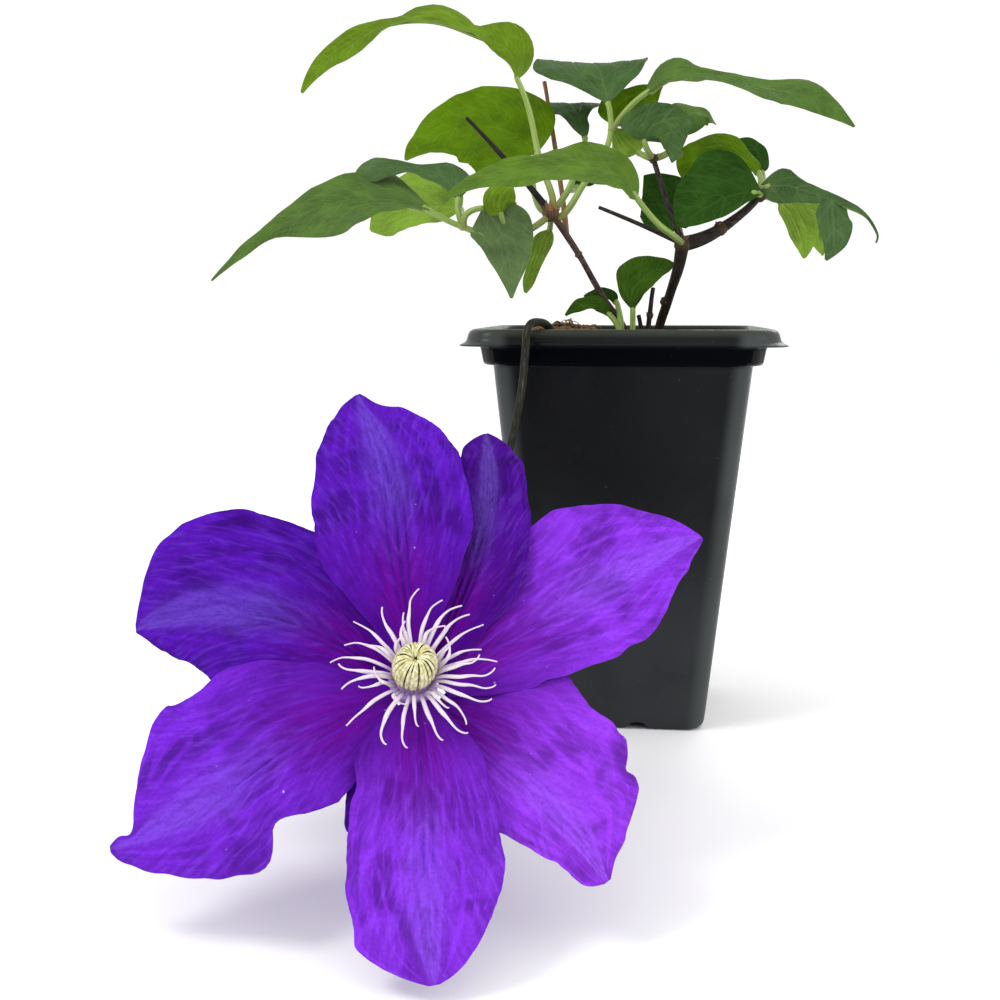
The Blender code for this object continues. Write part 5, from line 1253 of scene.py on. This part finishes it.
def make_stamens():
    """The stamens: flat filaments, crowded at the foot, with thin curling tips."""
    draw = random.Random(9)
    shape = Shape()
    profile = [(3.1, 0.3), (5.0, 0.25), (5.6, 0.5), (5.8, 0.95), (5.5, 1.4), (4.9, 1.7), (3.1, 1.9)]
    grid = np.arange(len(profile) * 60).reshape(len(profile), 60)
    shape.add(turned(profile, 60), [ring_faces(np.vstack([grid, grid[:1]]))], 0.0, 0.0)
    shares = np.linspace(0, 1, 28)
    for way, reach, curl in STAMENS:
        angle = math.radians(way)
        curl = math.radians(curl)
        rise = draw.uniform(3.4, 5.8)
        kink = draw.uniform(-0.015, 0.015)
        steps = [
            (0.36, 0.0, 1.4 + 0.5 * rise), (0.58, kink, 1.3 + 0.8 * rise),
            (0.74, 0.1 * curl - kink, 1.2 + 0.95 * rise), (0.88, 0.4 * curl, 1.1 + 0.95 * rise),
            (0.96, 0.8 * curl, 1.0 + 1.0 * rise), (1.0, 1.15 * curl, 1.0 + 1.1 * rise),
        ]
        points = [leaning(STAMEN_FOOT, angle, 1.4)]
        for share, swing, out in steps:
            points.append(leaning(max(5.2 + 3.8 * share, share * reach), angle + swing, out))
        radii = draw.uniform(0.85, 1.12) * np.interp(shares, *zip(*STAMEN_RADII))
        sweep(shape, path_at(in_bloom(points), shares), radii, 8, flat=0.55, wide=across_at(angle))
    make_piece("stamens", shape, [STAMEN], sharp=80)


def make_styles():
    """The dome of styles: a dark heart of painted shade, seen between the strands, and strands that bend over
    it and meet in a small star.
    """
    shape = Shape()
    profile = [
        (2.4, 0.3), (2.5, 2.3), (3.6, 3.0), (4.35, 4.4), (4.5, 6.2), (4.3, 7.9), (3.6, 8.9), (2.6, 9.1),
        (1.4, 8.6), (0.6, 8.0),
    ]
    # The heart is marked deep, so that it is painted near black as shade between the strands.
    shape.add(turned(profile, 48, leaning), loft_faces(len(profile), 48), (0.2, 0, 1.0), 0.0)
    draw = random.Random(3)
    shares = np.linspace(0, 1, 26)
    thickness = np.interp(shares, (0, 0.2, 0.6, 0.8, 1), (0.7, 0.95, 0.85, 0.5, 0.26))
    for scale, offset, size in ((1.0, 0.0, 0.55), (0.93, 0.5, 0.36)):
        for i in range(STYLES):
            angle = (i + offset + draw.uniform(-0.26, 0.26)) / STYLES * 2 * math.pi
            crown = 0.9 * max(0.0, math.sin(angle)) * draw.uniform(0.2, 1.0)
            reach = draw.uniform(0.7, 1.3)
            twist = draw.uniform(-0.1, 0.25)
            steps = [
                (2.4, 0.0, 2.2), (3.9 * scale, 0.0, 3.0), (4.8 * scale, 0.02, 4.6), (4.95 * scale, 0.03, 6.4),
                (4.75 * scale, 0.04, 8.2), (4.0 * scale, 0.06, 9.8), (3.0 * scale, 0.1, 10.7 + crown),
                (2.0 * scale, 0.15, 10.8 + crown), (reach, 0.2 + twist, 10.3),
                (0.5 * reach, 0.3 + 2 * twist, 9.7 + draw.uniform(-0.3, 0.3)),
            ]
            if offset:
                steps = steps[:6]
            points = in_bloom([leaning(radius, angle + swing, out) for radius, swing, out in steps])
            radii = size * draw.uniform(0.82, 1.08) * thickness
            sweep(shape, path_at(points, shares), radii, 8, flat=0.8, wide=across_at(angle))
    make_piece("styles", shape, [STYLE], sharp=80)


def make_stage():
    """The white floor, wide enough to reach past every view."""
    bm = bmesh.new()
    bmesh.ops.create_circle(bm, cap_ends=True, segments=96, radius=6.0)
    mesh = bpy.data.meshes.new("floor")
    bm.to_mesh(mesh)
    bm.free()
    mesh.materials.append(floor_paint())
    ground = bpy.data.objects.new("floor", mesh)
    ground.location.z = -0.02 * MM
    bpy.context.scene.collection.objects.link(ground)
    world = bpy.data.worlds.new("studio")
    world.use_nodes = True
    background = world.node_tree.nodes["Background"]
    background.inputs["Color"].default_value = (1.0, 1.0, 1.0, 1.0)
    background.inputs["Strength"].default_value = 1.06
    bpy.context.scene.world = world
    for name, place, size, energy in (
        ("key", (-0.75, -0.55, 1.15), 0.5, 6.0),
        ("fill", (0.9, -0.7, 0.7), 0.8, 2.5),
        ("rim", (0.35, 0.95, 0.75), 0.6, 3.0),
    ):
        lamp = bpy.data.lights.new(name, "AREA")
        lamp.shape = "DISK"
        lamp.size = size
        lamp.energy = energy
        light = bpy.data.objects.new(name, lamp)
        light.location = place
        light.rotation_euler = (Vector((0, -0.05, 0.12)) - Vector(place)).to_track_quat("-Z", "Y").to_euler()
        bpy.context.scene.collection.objects.link(light)


def make_camera():
    """The camera of the photograph."""
    data = bpy.data.cameras.new("camera")
    data.lens = CAMERA_LENS
    data.sensor_width = SENSOR_WIDTH
    data.clip_start = 0.01
    camera = bpy.data.objects.new("camera", data)
    camera.location = Vector(CAMERA_PLACE) * MM
    camera.rotation_euler = (math.pi / 2 - CAMERA_DOWN, 0, CAMERA_LEFT)
    bpy.context.scene.collection.objects.link(camera)
    bpy.context.scene.camera = camera


bpy.context.scene.view_settings.view_transform = "Standard"
make_stage()
make_camera()
make_pot()
make_soil()
for number, (node, stem) in enumerate(STEMS.items()):
    make_stem(node, number, **stem)
for number, (node, leaf) in enumerate(LEAVES.items()):
    make_leaf(node, number, *leaf)
make_bloom_stalk()
for number, (node, sepal) in enumerate(SEPALS.items()):
    make_sepal(node, number, **sepal)
make_stamens()
make_styles()
